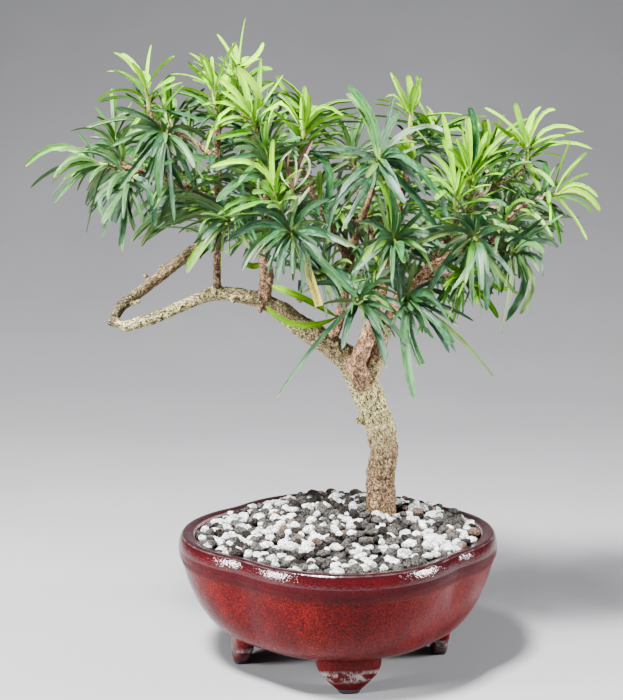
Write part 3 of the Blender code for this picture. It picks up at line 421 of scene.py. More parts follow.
# Drainage screen: a square of black plastic mesh that lies over the hole in the pot's floor.
# Its solid already has the right shape, so it only gets its moulded, slightly dusty finish.
plastic, tree = new_material("black_plastic")
place = object_place(tree)
dust = noise_value(tree, place, 300, 5, 0.7)
colour = ramp(tree, dust, ((0.40, (0.012, 0.012, 0.013)), (0.75, (0.060, 0.050, 0.042))))
set_shader(tree, Base_Color=colour, Roughness=ramp(tree, dust, ((0.3, 0.42), (0.7, 0.75))),
           Normal=bump(tree, noise_value(tree, place, 1500), 0.0001, 0.4))
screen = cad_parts["drain_screen"]
screen.data.materials.clear()
screen.data.materials.append(plastic)


# Soil: a gritty potting mix that fills the pot round the roots. Only its underside can be seen,
# through the drainage hole, so its solid is kept and gets a crumbly dark brown finish.
earth, tree = new_material("potting_soil")
place = object_place(tree)
crumbs = add_node(tree, "TexVoronoi", Vector=place, Scale=420.0)
colour = mix(tree, noise_value(tree, place, 700, 5, 0.7), (0.020, 0.013, 0.008), (0.110, 0.075, 0.048))
grit = ramp(tree, crumbs.outputs["Color"], ((0.80, 0.0), (0.86, 1.0)))
colour = mix(tree, grit, colour, (0.30, 0.27, 0.22))
set_shader(tree, Base_Color=colour, Roughness=0.95,
           Normal=bump(tree, crumbs.outputs["Distance"], 0.0012, 0.9))
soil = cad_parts["soil"]
soil.data.materials.clear()
soil.data.materials.append(earth)


# Gravel: white pumice, grey lava and a few tan grains about 7 mm across, poured on as a top layer
# two grains deep and mounded towards the trunk. They lie on a bed of finer dark grit.
GRAVEL_EDGE = 0.0800
GRAVEL_RISE = 0.0125
GRAVEL_PEAK = Vector((0.014, 0.028))
GRAVEL_SPREAD = 0.104
GRAVEL_FALL = 2.2
BED_DEPTH = 0.0062
BED_RIM_DEPTH = 1.4 * BED_DEPTH
BED_RADIUS = 0.0918
BED_RINGS = 14
BED_SIDES = 72
BED_MIDDLE = 0.001
# Grains are laid in rows that are staggered and then scattered, and one ring follows the wall.
GRAIN_SPACING = 0.0065
GRAIN_SIZE = 0.0072
LAYER_DEPTHS = (0.0010, 0.0056)
GRAIN_SHAPES = 12
WALL_GRAINS = 74
WALL_HEAP = 0.0016
WALL_HEAP_WIDTH = 0.016
WALL_RADIUS = 0.0925
GRAIN_ROW_SHARE = 0.866
GRAIN_SHIFT = 0.24
GRAIN_RISE = 0.0014
GRAIN_SMOOTHING = math.radians(52)
# A grain is a lump with flats: how many, how deep they lie and how much of what stands over one is
# taken off. Then its size as a share of GRAIN_SIZE, its tilt, and its stretch along each axis.
GRAIN_FLATS = 6
FLAT_DEPTHS = (0.28, 0.44)
FLAT_CUT = 0.6
GRAIN_SIZES = (0.62, 1.4)
GRAIN_SIZE_SPREAD = 0.18
GRAIN_TILT = 0.9
GRAIN_STRETCHES = ((0.95, 1.25), (0.8, 1.05), (0.72, 0.95))
MERGE_DISTANCE = 0.000005


def gravel_height(x, y):
    """The height of the layer's top over a place measured from the pot's axis."""
    away = (Vector((x, y)) - GRAVEL_PEAK).length / GRAVEL_SPREAD
    return GRAVEL_EDGE + GRAVEL_RISE * math.exp(-GRAVEL_FALL * away * away)


def merged_copy(name, node):
    """A copy of a CAD node's mesh as an object of its own, with its loose triangles merged."""
    obj = bpy.data.objects.new(name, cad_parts[node].data.copy())
    bpy.context.scene.collection.objects.link(obj)
    select_only(obj)
    bpy.ops.object.mode_set(mode="EDIT")
    bpy.ops.mesh.select_all(action="SELECT")
    bpy.ops.mesh.remove_doubles(threshold=MERGE_DISTANCE)
    bpy.ops.object.mode_set(mode="OBJECT")
    return obj


def object_from(name, verts, polygons):
    """A new mesh object in the scene, from points and faces."""
    mesh = bpy.data.meshes.new(name)
    mesh.from_pydata(verts, [], polygons)
    obj = bpy.data.objects.new(name, mesh)
    bpy.context.scene.collection.objects.link(obj)
    return obj


def store(obj, name, values, domain="POINT"):
    """Stores single numbers, or rows of three, as an attribute that a material can read."""
    values = np.array(values, dtype=np.float32)
    kind, field = ("FLOAT", "value") if values.ndim == 1 else ("FLOAT_VECTOR", "vector")
    obj.data.attributes.new(name, kind, domain).data.foreach_set(field, values.ravel())


def search_tree(obj):
    """A tree of an object's faces, in which the nearest one is found quickly."""
    places = [vert.co for vert in obj.data.vertices]
    return BVHTree.FromPolygons(places, [tuple(face.vertices) for face in obj.data.polygons])


rows = [(BED_RADIUS * (1 - i / BED_RINGS) + BED_MIDDLE * i / BED_RINGS, 0.0) for i in range(BED_RINGS + 1)]
bed = drawn_ring("gravel_bed", BED_SIDES, rows)
select_open_edges()
bpy.ops.mesh.edge_face_add()
bpy.ops.object.mode_set(mode="OBJECT")
for vert in bed.data.vertices:
    outline = lobed(math.atan2(vert.co.y, vert.co.x), 1.0, math.radians(7))
    x, y = Matrix.Rotation(POT_YAW, 2) @ vert.co.xy * outline
    on_rim = vert.co.xy.length > BED_RADIUS * 0.999
    height = gravel_height(x, y) - (BED_RIM_DEPTH if on_rim else BED_DEPTH)
    vert.co = POT_AXIS + Vector((x, y, height))
outward_faces(bed)

trunk = merged_copy("trunk_room", "tree")
trunk_tree = search_tree(trunk)

rng = random.Random(11)
grain_shapes = []
for number in range(GRAIN_SHAPES):
    deselect_all()
    bpy.ops.mesh.primitive_ico_sphere_add(subdivisions=2, radius=0.5)
    lump = bpy.context.object
    cuts = [Vector([rng.gauss(0, 1) for axis in range(3)]).normalized() for cut in range(GRAIN_FLATS)]
    depths = [rng.uniform(*FLAT_DEPTHS) for cut in cuts]
    shape = []
    for vert in lump.data.vertices:
        point = vert.co * (1 + 0.30 * noise.noise(vert.co * 2.9 + Vector((number * 7.3, 0, 0))))
        for cut, depth in zip(cuts, depths):
            over = point.dot(cut) - depth
            if over > 0:
                point -= cut * over * FLAT_CUT
        shape.append(point * (1 + 0.22 * noise.noise(vert.co * 7.5 + Vector((0, number * 5.1, 0)))))
    grain_faces = [tuple(face.vertices) for face in lump.data.polygons]
    grain_shapes.append(shape)
    bpy.data.objects.remove(lump)

GRAIN_KINDS = {
    "white_pumice": 0.42,
    "grey_lava": 0.40,
    "dark_lava": 0.14,
    "tan_grains": 0.04,
}
heaps = {kind: ([], [], [], []) for kind in GRAIN_KINDS}


def wall_reach(x, y):
    """How far the pot's inner wall is from its axis in the direction of a place."""
    return WALL_RADIUS * lobed(math.atan2(y, x) - POT_YAW, 1.0, math.radians(5))


def lay_grain(x, y, depth):
    """Adds a grain of a random kind, shape, size and turn, unless the wall or the trunk is there."""
    size = GRAIN_SIZE * min(GRAIN_SIZES[1], max(GRAIN_SIZES[0], rng.gauss(1.0, GRAIN_SIZE_SPREAD)))
    kind = rng.choices(list(GRAIN_KINDS), weights=list(GRAIN_KINDS.values()))[0]
    tone = rng.random()
    shape = rng.choice(grain_shapes)
    turn = Matrix.Rotation(rng.uniform(0, math.tau), 3, "Z")
    for axis in "XY":
        turn = turn @ Matrix.Rotation(rng.uniform(-GRAIN_TILT, GRAIN_TILT), 3, axis)
    stretch = [rng.uniform(*shares) for shares in GRAIN_STRETCHES]
    to_wall = wall_reach(x, y) - math.hypot(x, y)
    heaped = WALL_HEAP * max(0.0, 1 - to_wall / WALL_HEAP_WIDTH)
    height = gravel_height(x, y) + heaped - depth + rng.uniform(-GRAIN_RISE, GRAIN_RISE)
    centre = POT_AXIS + Vector((x, y, height))
    if to_wall < 0.45 * size or trunk_tree.find_nearest(centre)[3] < 0.5 * size:
        return
    points, polygons, tones, shades = heaps[kind]
    first = len(points)
    corners = [turn @ Vector(a * b * size for a, b in zip(point, stretch)) for point in shape]
    points.extend(centre + corner for corner in corners)
    polygons.extend(tuple(first + index for index in face) for face in grain_faces)
    tones.extend([tone] * len(shape))
    # How low each point sits on its grain; the material turns this into painted shade.
    shades.extend(0.5 - corner.z / size for corner in corners)


rows = int(BED_RADIUS / (GRAIN_SPACING * GRAIN_ROW_SHARE)) + 1
for depth in LAYER_DEPTHS:
    for row in range(-rows, rows + 1):
        for column in range(-rows, rows + 1):
            x = (column + 0.5 * (row % 2)) * GRAIN_SPACING
            x += rng.uniform(-GRAIN_SHIFT, GRAIN_SHIFT) * GRAIN_SPACING
            y = row * GRAIN_SPACING * GRAIN_ROW_SHARE
            y += rng.uniform(-GRAIN_SHIFT, GRAIN_SHIFT) * GRAIN_SPACING
            if math.hypot(x, y) < wall_reach(x, y) - GRAIN_SPACING:
                lay_grain(x, y, depth)
    for step in range(WALL_GRAINS):
        angle = math.tau * (step + rng.uniform(-0.2, 0.2)) / WALL_GRAINS
        x, y = math.cos(angle), math.sin(angle)
        reach = wall_reach(x, y) - GRAIN_SIZE * rng.uniform(0.52, 0.62)
        lay_grain(x * reach, y * reach, depth)

GRAIN_COLOURS = {
    "white_pumice": ((0.15, 0.15, 0.14), (0.92, 0.92, 0.91)),
    "grey_lava": ((0.007, 0.006, 0.006), (0.092, 0.085, 0.077)),
    "dark_lava": ((0.002, 0.002, 0.002), (0.028, 0.024, 0.021)),
    "tan_grains": ((0.045, 0.026, 0.019), (0.170, 0.115, 0.088)),
}
PIT_SHARES = {"white_pumice": 0.75, "grey_lava": 0.95, "dark_lava": 0.95, "tan_grains": 0.80}
for kind, (points, polygons, tones, shades) in heaps.items():
    heap = object_from(kind, points, polygons)
    store(heap, "tone", tones)
    store(heap, "underside", shades)
    select_only(heap)
    bpy.ops.object.shade_smooth_by_angle(angle=GRAIN_SMOOTHING)
    stone, tree = new_material(kind)
    place = object_place(tree)
    dark, light = GRAIN_COLOURS[kind]
    tone = attribute(tree, "tone")
    fine = noise_value(tree, place, 800, 6, 0.8)
    pits = add_node(tree, "TexVoronoi", Vector=place, Scale=620.0).outputs["Distance"]
    share = maths(tree, "ADD", maths(tree, "MULTIPLY", tone, 0.5),
                  ramp(tree, fine, ((0.36, 0.0), (0.60, 0.6))))
    colour = mix(tree, share, dark, light)
    colour = mix(tree, ramp(tree, pits, ((0.12, PIT_SHARES[kind]), (0.42, 0.0))), colour,
                 tuple(0.35 * channel for channel in dark))
    speck = noise_value(tree, place, 1700, 3, 0.6)
    colour = mix(tree, ramp(tree, speck, ((0.62, 0.0), (0.72, 0.6))), colour,
                 tuple(min(1.0, 1.5 * channel) for channel in light))
    hollow = ramp(tree, fine, ((0.34, 0.0), (0.48, 1.0)))
    in_hollow = maths(tree, "MULTIPLY", maths(tree, "SUBTRACT", 1.0, hollow), 0.8 * PIT_SHARES[kind])
    colour = mix(tree, in_hollow, colour, tuple(0.3 * channel for channel in dark))
    # Painted shade: each grain darkens to near black on its lower sides, where it meets its neighbours.
    painted_grain_shade = maths(tree, "ADD", attribute(tree, "underside"), maths(tree, "MULTIPLY", fine, 0.30))
    colour = mix(tree, ramp(tree, painted_grain_shade, ((0.50, 0.0), (0.74, 0.92))), colour, (0.006, 0.005, 0.005))
    relief = mix(tree, 0.5, pits, mix(tree, 0.5, fine, hollow))
    set_shader(tree, Base_Color=colour, Roughness=0.95, Specular_IOR_Level=0.04,
               Normal=bump(tree, relief, 0.0030, 1.0))
    heap.data.materials.append(stone)
    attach(heap, "root")
    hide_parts("gravel")

grit_finish, tree = new_material("bed_grit")
place = object_place(tree)
lumps = add_node(tree, "TexVoronoi", Vector=place, Scale=380.0)
colour = mix(tree, noise_value(tree, place, 500, 4, 0.7), (0.003, 0.003, 0.002), (0.014, 0.012, 0.010))
set_shader(tree, Base_Color=colour, Roughness=0.95, Normal=bump(tree, lumps.outputs["Distance"], 0.0015, 1.0))
bed.data.materials.append(grit_finish)
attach(bed, "root")
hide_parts("gravel")


# Tree: the trunk, the long left limb with its hairpin turn, the second trunk, limbs, twigs and
# roots. The solid is remeshed finely and rounded, and gets the relief of its flaky bark.
BARK_CELL = 0.00086
BARK_LUMPS = 0.0010
BARK_FLAKES = 0.0008
BARK_SWELL = 0.0002
FULL_RELIEF_RADIUS = 0.009
LEAST_RELIEF = 0.14
BARK_ROUNDINGS = 7
ALONG_SHARE = 0.70
TWIG_START = 0.0016
TWIG_RADIUS = 0.0016
TWIG_LOWEST = 0.235
TWIG_TONES = (0.05, 0.55, 0.05)
# The limbs' lines: x, y, z and radius, then the shares of lichen, bare red bark and black there.
BARK_RUNS = (
    (
        (0.030, 0.027, 0.052, 0.0085, 0.00, 0.05, 0.10),
        (0.029, 0.027, 0.096, 0.0102, 0.10, 0.15, 0.12),
        (0.031, 0.026, 0.131, 0.0095, 0.35, 0.15, 0.05),
        (0.029, 0.025, 0.145, 0.0099, 0.58, 0.00, 0.00),
        (0.024, 0.025, 0.158, 0.0106, 0.72, 0.00, 0.05),
        (0.020, 0.024, 0.170, 0.0103, 0.80, 0.00, 0.15),
        (0.015, 0.024, 0.182, 0.0100, 0.70, 0.10, 0.20),
        (0.007, 0.023, 0.193, 0.0088, 0.50, 0.10, 0.32),
        (-0.005, 0.022, 0.203, 0.0078, 0.50, 0.05, 0.36),
        (-0.025, 0.020, 0.216, 0.0069, 0.52, 0.10, 0.34),
        (-0.036, 0.018, 0.225, 0.0062, 0.45, 0.25, 0.26),
        (-0.050, 0.015, 0.233, 0.0052, 0.50, 0.25, 0.22),
        (-0.067, 0.012, 0.237, 0.0047, 0.65, 0.10, 0.26),
        (-0.080, 0.009, 0.238, 0.0045, 0.80, 0.00, 0.15),
        (-0.099, 0.006, 0.231, 0.0039, 0.90, 0.00, 0.05),
        (-0.119, 0.004, 0.222, 0.0036, 1.00, 0.00, 0.00),
        (-0.136, 0.003, 0.217, 0.0037, 0.90, 0.00, 0.10),
        (-0.145, 0.005, 0.220, 0.0040, 0.50, 0.00, 0.62),
        (-0.141, 0.010, 0.229, 0.0038, 0.45, 0.05, 0.62),
        (-0.129, 0.016, 0.238, 0.0036, 0.45, 0.32, 0.26),
        (-0.114, 0.021, 0.250, 0.0036, 0.40, 0.42, 0.20),
        (-0.100, 0.026, 0.261, 0.0035, 0.50, 0.30, 0.34),
        (-0.083, 0.033, 0.275, 0.0031, 0.60, 0.10, 0.34),
        (-0.050, 0.043, 0.307, 0.0023, 0.45, 0.20, 0.30),
    ),
    (
        (-0.078, 0.010, 0.238, 0.0030, 0.10, 0.60, 0.50),
        (-0.077, 0.001, 0.280, 0.0028, 0.00, 0.75, 0.44),
        (-0.075, -0.006, 0.349, 0.0018, 0.00, 0.60, 0.25),
    ),
    (
        (-0.049, 0.016, 0.231, 0.0058, 0.15, 0.55, 0.34),
        (-0.046, 0.012, 0.248, 0.0050, 0.10, 0.60, 0.34),
        (-0.045, 0.001, 0.291, 0.0035, 0.00, 0.60, 0.25),
        (-0.060, -0.005, 0.350, 0.0018, 0.00, 0.60, 0.20),
    ),
    (
        (-0.006, 0.022, 0.203, 0.0046, 0.30, 0.40, 0.20),
        (0.003, 0.011, 0.232, 0.0034, 0.00, 0.70, 0.15),
        (0.021, -0.003, 0.304, 0.0020, 0.00, 0.60, 0.00),
    ),
    (
        (0.019, 0.023, 0.172, 0.0082, 0.40, 0.40, 0.00),
        (0.012, 0.014, 0.191, 0.0066, 0.15, 0.60, 0.00),
        (0.018, 0.007, 0.207, 0.0058, 0.15, 0.60, 0.00),
        (0.024, 0.004, 0.225, 0.0050, 0.00, 0.80, 0.05),
        (0.034, 0.010, 0.272, 0.0035, 0.00, 0.70, 0.00),
        (0.044, 0.001, 0.332, 0.0018, 0.00, 0.50, 0.00),
    ),
    (
        (0.018, 0.024, 0.175, 0.0070, 0.60, 0.10, 0.05),
        (0.024, 0.018, 0.190, 0.0060, 0.50, 0.25, 0.00),
        (0.028, 0.012, 0.208, 0.0052, 0.30, 0.45, 0.05),
        (0.039, 0.006, 0.236, 0.0040, 0.00, 0.80, 0.00),
        (0.056, 0.001, 0.253, 0.0034, 0.00, 0.85, 0.00),
        (0.094, -0.010, 0.270, 0.0021, 0.00, 0.70, 0.00),
    ),
)


def bark_layout(points):
    """For each point: its place in a frame that follows its limb, the limb's radius, and its tones."""
    count = len(points)
    nearest = np.full(count, 1e9)
    layout = np.zeros((count, 3))
    radii = np.zeros(count)
    tones = np.zeros((count, 3))
    for number, run in enumerate(BARK_RUNS):
        side = None
        so_far = 0.0
        for first, second in zip(run, run[1:]):
            start = np.array(POT_AXIS) + first[:3]
            reach = np.array(second[:3]) - first[:3]
            length = np.linalg.norm(reach)
            along = reach / length
            side = np.cross(along, (0.3, 1.0, 0.2)) if side is None else side - along * side.dot(along)
            side = side / np.linalg.norm(side)
            share = np.clip((points - start) @ along / length, 0.0, 1.0)
            offset = points - start - share[:, None] * reach
            radius = first[3] + share * (second[3] - first[3])
            away = np.linalg.norm(offset, axis=1) - radius
            closer = away < nearest
            place = np.stack([offset @ side, offset @ np.cross(along, side),
                              number + (so_far + share * length) * ALONG_SHARE], 1)
            layout[closer] = place[closer]
            radii[closer] = radius[closer]
            blend = np.array(first[4:]) + share[:, None] * (np.array(second[4:]) - first[4:])
            tones[closer] = blend[closer]
            nearest[closer] = away[closer]
            so_far += length
    twigs = (nearest > TWIG_START) & (points[:, 2] > TWIG_LOWEST)
    layout[twigs] = points[twigs]
    radii[twigs] = TWIG_RADIUS
    tones[twigs] = TWIG_TONES
    return layout, radii, tones


SPUR_SHARE = 0.72
SPUR_SIDES = 8
# Stubs of cut or dead twigs: foot, tip and radius.
SPURS = (
    ((-0.1330, 0.004, 0.2320), (-0.1242, -0.004, 0.2340), 0.0011),
    ((-0.1092, 0.003, 0.2264), (-0.1075, -0.002, 0.2211), 0.0010),
    ((-0.0680, 0.010, 0.2361), (-0.0669, 0.002, 0.2309), 0.0011),
    ((-0.0508, 0.014, 0.2299), (-0.0505, 0.006, 0.2241), 0.0012),
    ((-0.1146, 0.024, 0.2507), (-0.1157, 0.018, 0.2569), 0.0016),
    ((-0.1228, 0.021, 0.2450), (-0.1275, 0.018, 0.2510), 0.0012),
    ((-0.1027, 0.030, 0.2602), (-0.0997, 0.026, 0.2532), 0.0009),
    ((-0.0249, 0.020, 0.2326), (-0.0274, 0.012, 0.2385), 0.0012),
    ((-0.0938, 0.034, 0.2646), (-0.0889, 0.030, 0.2569), 0.0010),
    ((-0.0839, 0.008, 0.2369), (-0.0848, 0.004, 0.2423), 0.0011),
)


def tube(line, sides):
    """Points and faces of a closed tube through rows of a point and a radius."""
    verts = []
    side = None
    for index, (point, radius) in enumerate(line):
        before = line[max(index - 1, 0)][0]
        after = line[min(index + 1, len(line) - 1)][0]
        along = (after - before).normalized()
        side = along.orthogonal() if side is None else side - along * side.dot(along)
        side.normalize()
        up = along.cross(side)
        for corner in range(sides):
            angle = math.tau * corner / sides
            verts.append(point + (side * math.cos(angle) + up * math.sin(angle)) * radius)
    polygons = [tuple(reversed(range(sides))), tuple(range(len(verts) - sides, len(verts)))]
    for row in range(len(line) - 1):
        for i in range(sides):
            j = (i + 1) % sides
            polygons.append((row * sides + i, row * sides + j, (row + 1) * sides + j, (row + 1) * sides + i))
    return verts, polygons


bark = trunk
bark.name = "bark"
deselect_all()
for foot, tip, radius in SPURS:
    foot, tip = POT_AXIS + Vector(foot), POT_AXIS + Vector(tip)
    tip = foot.lerp(tip, SPUR_SHARE)
    line = [(foot, 1.7 * radius), (foot.lerp(tip, 0.6), 1.3 * radius), (tip, 1.1 * radius)]
    object_from("spur", *tube(line, SPUR_SIDES)).select_set(True)
bark.select_set(True)
bpy.context.view_layer.objects.active = bark
bpy.ops.object.join()
remesh = bark.modifiers.new("even cells", "REMESH")
remesh.mode = "VOXEL"
remesh.voxel_size = BARK_CELL
rounding = bark.modifiers.new("rounding", "SMOOTH")
rounding.factor = 0.5
rounding.iterations = BARK_ROUNDINGS
apply_modifiers(bark)
layout, radii, tones = bark_layout(np.array([vert.co for vert in bark.data.vertices]))
moved = []
for vert, place, radius in zip(bark.data.vertices, layout, radii):
    place = Vector(place)
    lumps = noise.fractal(place * 100, 0.8, 2.2, 4)
    flake = noise.noise(place * 300) + 0.7 * noise.noise(place * 650)
    flake = min(1.0, max(0.0, 2.6 * flake + 0.4))
    relief = max(LEAST_RELIEF, min(1.0, radius / FULL_RELIEF_RADIUS))
    rise = BARK_SWELL + relief * (BARK_LUMPS * lumps + BARK_FLAKES * (flake - 0.5))
    moved.append(vert.co + vert.normal * rise)
for vert, place in zip(bark.data.vertices, moved):
    vert.co = place
store(bark, "bark_place", layout)
store(bark, "bark_tone", tones)
select_only(bark)
bpy.ops.object.shade_smooth()

bark_finish, tree = new_material("bark")
place = object_place(tree)
drawn = attribute(tree, "bark_place", "Vector")
tones = add_node(tree, "SeparateXYZ", Vector=attribute(tree, "bark_tone", "Vector"))
scaly = noise_value(tree, drawn, 720, 5, 0.74, 0.3)
colour = ramp(tree, scaly, ((0.41, (0.016, 0.010, 0.006)), (0.475, (0.090, 0.054, 0.029)),
                            (0.545, (0.190, 0.116, 0.066)), (0.65, (0.630, 0.405, 0.230))))
zones = noise_value(tree, drawn, 130, 4, 0.6, 0.4)
colour = mix(tree, ramp(tree, zones, ((0.38, 0.6), (0.52, 0.0))), colour, (0.130, 0.074, 0.038))
flecks = noise_value(tree, drawn, 1100, 4, 0.65)
colour = mix(tree, ramp(tree, flecks, ((0.59, 0.0), (0.66, 0.6))), colour, (0.24, 0.075, 0.032))
patches = noise_value(tree, place, 150, 5, 0.7)
speckle = noise_value(tree, drawn, 760, 5, 0.76)
lichen = ramp(tree, speckle, ((0.41, (0.004, 0.004, 0.002)), (0.455, (0.120, 0.105, 0.040)),
                              (0.50, (0.420, 0.370, 0.150)), (0.57, (0.940, 0.850, 0.460))))
lichen_share = maths(tree, "ADD", tones.outputs["X"], maths(tree, "SUBTRACT", patches, 0.5))
crack = noise_value(tree, drawn, 420, 5, 0.78, 0.8)
colour = mix(tree, ramp(tree, crack, ((0.365, 0.88), (0.42, 0.0))), colour, (0.026, 0.016, 0.009))
lichen_mask = ramp(tree, lichen_share, ((0.30, 0.0), (0.72, 0.9)))
colour = mix(tree, lichen_mask, colour, lichen)
grain = noise_value(tree, drawn, 560, 5, 0.74, 0.3)
red = ramp(tree, grain, ((0.38, (0.050, 0.019, 0.010)), (0.46, (0.260, 0.100, 0.048)),
                         (0.57, (0.820, 0.510, 0.320))))
wander = wobble(tree, noise_value(tree, place, 180, 5, 0.7), 1.6)
red_share = maths(tree, "ADD", tones.outputs["Y"], wander)
colour = mix(tree, ramp(tree, red_share, ((0.36, 0.0), (0.74, 0.9))), colour, red)
soot = noise_value(tree, place, 320, 6, 0.8)
dark_share = maths(tree, "ADD", tones.outputs["Z"], wobble(tree, soot, 1.5))
colour = mix(tree, ramp(tree, dark_share, ((0.36, 0.0), (0.50, 0.9))), colour, (0.034, 0.031, 0.022))
grit = noise_value(tree, drawn, 1500, 5, 0.8)
colour = mix(tree, ramp(tree, grit, ((0.43, 0.9), (0.51, 0.0))), colour, (0.014, 0.010, 0.005))
colour = mix(tree, ramp(tree, grit, ((0.55, 0.0), (0.64, 0.6))), colour, (0.860, 0.660, 0.340))
relief = maths(tree, "ADD", scaly, ramp(tree, crack, ((0.32, 0.0), (0.44, 1.0))))
surface = bump(tree, relief, 0.0009, 0.9)
surface = bump(tree, grit, 0.0006, 0.8, surface)
set_shader(tree, Base_Color=colour, Roughness=0.88, Specular_IOR_Level=0.12, Normal=surface)
bark.data.materials.clear()
bark.data.materials.append(bark_finish)
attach(bark, "root")
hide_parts("tree")


# Leafy shoots: each has a short green stem with leathery strap leaves all round it. Every blade of
# its solid is read for where it ends and lies, and a finer leaf with a rib goes in its place. More
# leaves then fill the shoot, turned on round its stem, where they clear the bark and one another.
GOLDEN_ANGLE = math.radians(137.5)
# Each row is the foot of the stem, the stem, how many leaves in all, their length, how far they
# lean out at the foot and at the top in degrees, and how young they are.
SHOOTS = {
    "left_top": ((-0.117, -0.012, 0.352), (-0.002, -0.003, 0.018), 15, 0.036, 62, 14, 0.80),
    "left_upper": ((-0.139, 0.001, 0.324), (-0.003, 0.002, 0.015), 26, 0.036, 80, 25, 0.25),
    "left_tip": ((-0.140, -0.012, 0.318), (-0.013, -0.002, 0.002), 24, 0.044, 75, 25, 0.30),
    "left_hanging": ((-0.128, -0.018, 0.313), (-0.004, -0.006, -0.011), 24, 0.040, 80, 25, 0.05),
    "left_inner": ((-0.107, -0.016, 0.340), (0.001, -0.009, -0.004), 26, 0.040, 95, 40, 0.15),
    "top_left": ((-0.077, -0.008, 0.354), (-0.001, -0.001, 0.016), 15, 0.035, 60, 12, 0.90),
    "top_tall": ((-0.062, -0.003, 0.356), (-0.001, -0.002, 0.024), 18, 0.038, 60, 12, 0.95),
    "top_front": ((-0.051, -0.017, 0.338), (-0.003, -0.007, 0.012), 22, 0.042, 80, 20, 0.80),
    "centre_left": ((-0.044, -0.017, 0.313), (-0.001, -0.006, 0.016), 32, 0.044, 90, 25, 0.30),
    "bud_left": ((-0.037, -0.030, 0.287), (-0.003, -0.007, 0.017), 32, 0.040, 80, 20, 0.60),
    "top_centre": ((-0.024, -0.013, 0.326), (0.002, -0.002, 0.017), 19, 0.040, 75, 16, 0.80),
    "centre": ((0.023, -0.018, 0.316), (0.000, -0.013, 0.006), 32, 0.045, 95, 35, 0.05),
    "top_right": ((0.044, 0.000, 0.338), (0.001, -0.002, 0.017), 16, 0.038, 60, 12, 0.75),
    "right_bud": ((0.071, -0.022, 0.289), (-0.001, -0.006, 0.014), 20, 0.040, 75, 20, 0.70),
    "right_tall": ((0.081, -0.013, 0.297), (-0.001, -0.004, 0.021), 22, 0.042, 70, 14, 0.85),
    "right_top": ((0.117, 0.000, 0.318), (0.001, -0.002, 0.014), 18, 0.038, 75, 18, 0.85),
    "right_tip": ((0.124, -0.012, 0.299), (0.011, -0.003, 0.002), 15, 0.040, 80, 28, 0.75),
    "right_hanging": ((0.103, -0.018, 0.267), (0.006, -0.006, -0.003), 28, 0.042, 90, 35, 0.10),
    "right_low": ((0.041, -0.016, 0.239), (0.001, -0.012, -0.005), 32, 0.044, 95, 35, 0.10),
    "left_low": ((-0.030, -0.033, 0.279), (0.001, -0.012, -0.002), 32, 0.045, 95, 40, 0.05),
    "left_low_side": ((-0.064, -0.010, 0.286), (-0.006, -0.008, -0.003), 28, 0.040, 95, 30, 0.10),
    "right_low_bud": ((0.076, -0.010, 0.249), (0.003, -0.009, -0.003), 28, 0.036, 95, 30, 0.60),
    "right_middle": ((0.081, -0.028, 0.277), (0.001, -0.011, -0.004), 30, 0.042, 95, 35, 0.10),
    "centre_low": ((0.032, -0.022, 0.274), (0.001, -0.012, -0.001), 32, 0.042, 95, 35, 0.15),
    "low": ((0.012, -0.012, 0.238), (0.000, -0.012, -0.005), 26, 0.046, 95, 35, 0.10),
    "inner_low": ((-0.008, 0.000, 0.252), (-0.006, -0.007, -0.003), 26, 0.040, 95, 35, 0.10),
    "back_left_top": ((-0.106, 0.020, 0.338), (-0.004, 0.005, 0.014), 28, 0.040, 85, 22, 0.40),
    "back_left": ((-0.124, 0.030, 0.312), (-0.010, 0.006, 0.004), 28, 0.040, 90, 28, 0.20),
    "back_left_low": ((-0.094, 0.042, 0.291), (-0.006, 0.010, -0.002), 28, 0.042, 95, 35, 0.05),
    "back_top_left": ((-0.072, 0.027, 0.352), (-0.002, 0.005, 0.015), 28, 0.038, 85, 20, 0.85),
    "back_upper_left": ((-0.050, 0.050, 0.332), (-0.003, 0.008, 0.011), 30, 0.042, 90, 25, 0.35),
    "back_low_left": ((-0.050, 0.056, 0.299), (-0.003, 0.011, 0.000), 30, 0.044, 95, 35, 0.05),
    "back_top": ((-0.020, 0.030, 0.345), (0.001, 0.004, 0.014), 28, 0.038, 85, 22, 0.75),
    "back_centre": ((0.010, 0.052, 0.321), (0.000, 0.009, 0.010), 30, 0.042, 90, 25, 0.30),
    "back_centre_low": ((0.006, 0.054, 0.286), (-0.001, 0.012, -0.001), 30, 0.044, 95, 35, 0.05),
    "back_top_right": ((0.060, 0.030, 0.334), (0.002, 0.004, 0.014), 28, 0.038, 85, 22, 0.75),
    "back_right_top": ((0.095, 0.024, 0.322), (0.003, 0.003, 0.013), 28, 0.038, 85, 22, 0.65),
    "back_right": ((0.088, 0.052, 0.304), (0.004, 0.009, 0.006), 30, 0.042, 90, 28, 0.25),
    "back_right_tip": ((0.117, 0.032, 0.293), (0.009, 0.006, 0.003), 28, 0.040, 90, 28, 0.30),
    "back_right_low": ((0.066, 0.052, 0.271), (0.002, 0.011, -0.003), 30, 0.044, 95, 35, 0.05),
    "back_low": ((0.032, 0.038, 0.254), (0.001, 0.011, -0.004), 30, 0.044, 95, 35, 0.05),
    "right_side": ((0.106, 0.012, 0.276), (0.011, 0.002, -0.001), 28, 0.042, 90, 30, 0.20),
}
TWIG_END = (-0.0285, -0.036, 0.3036)
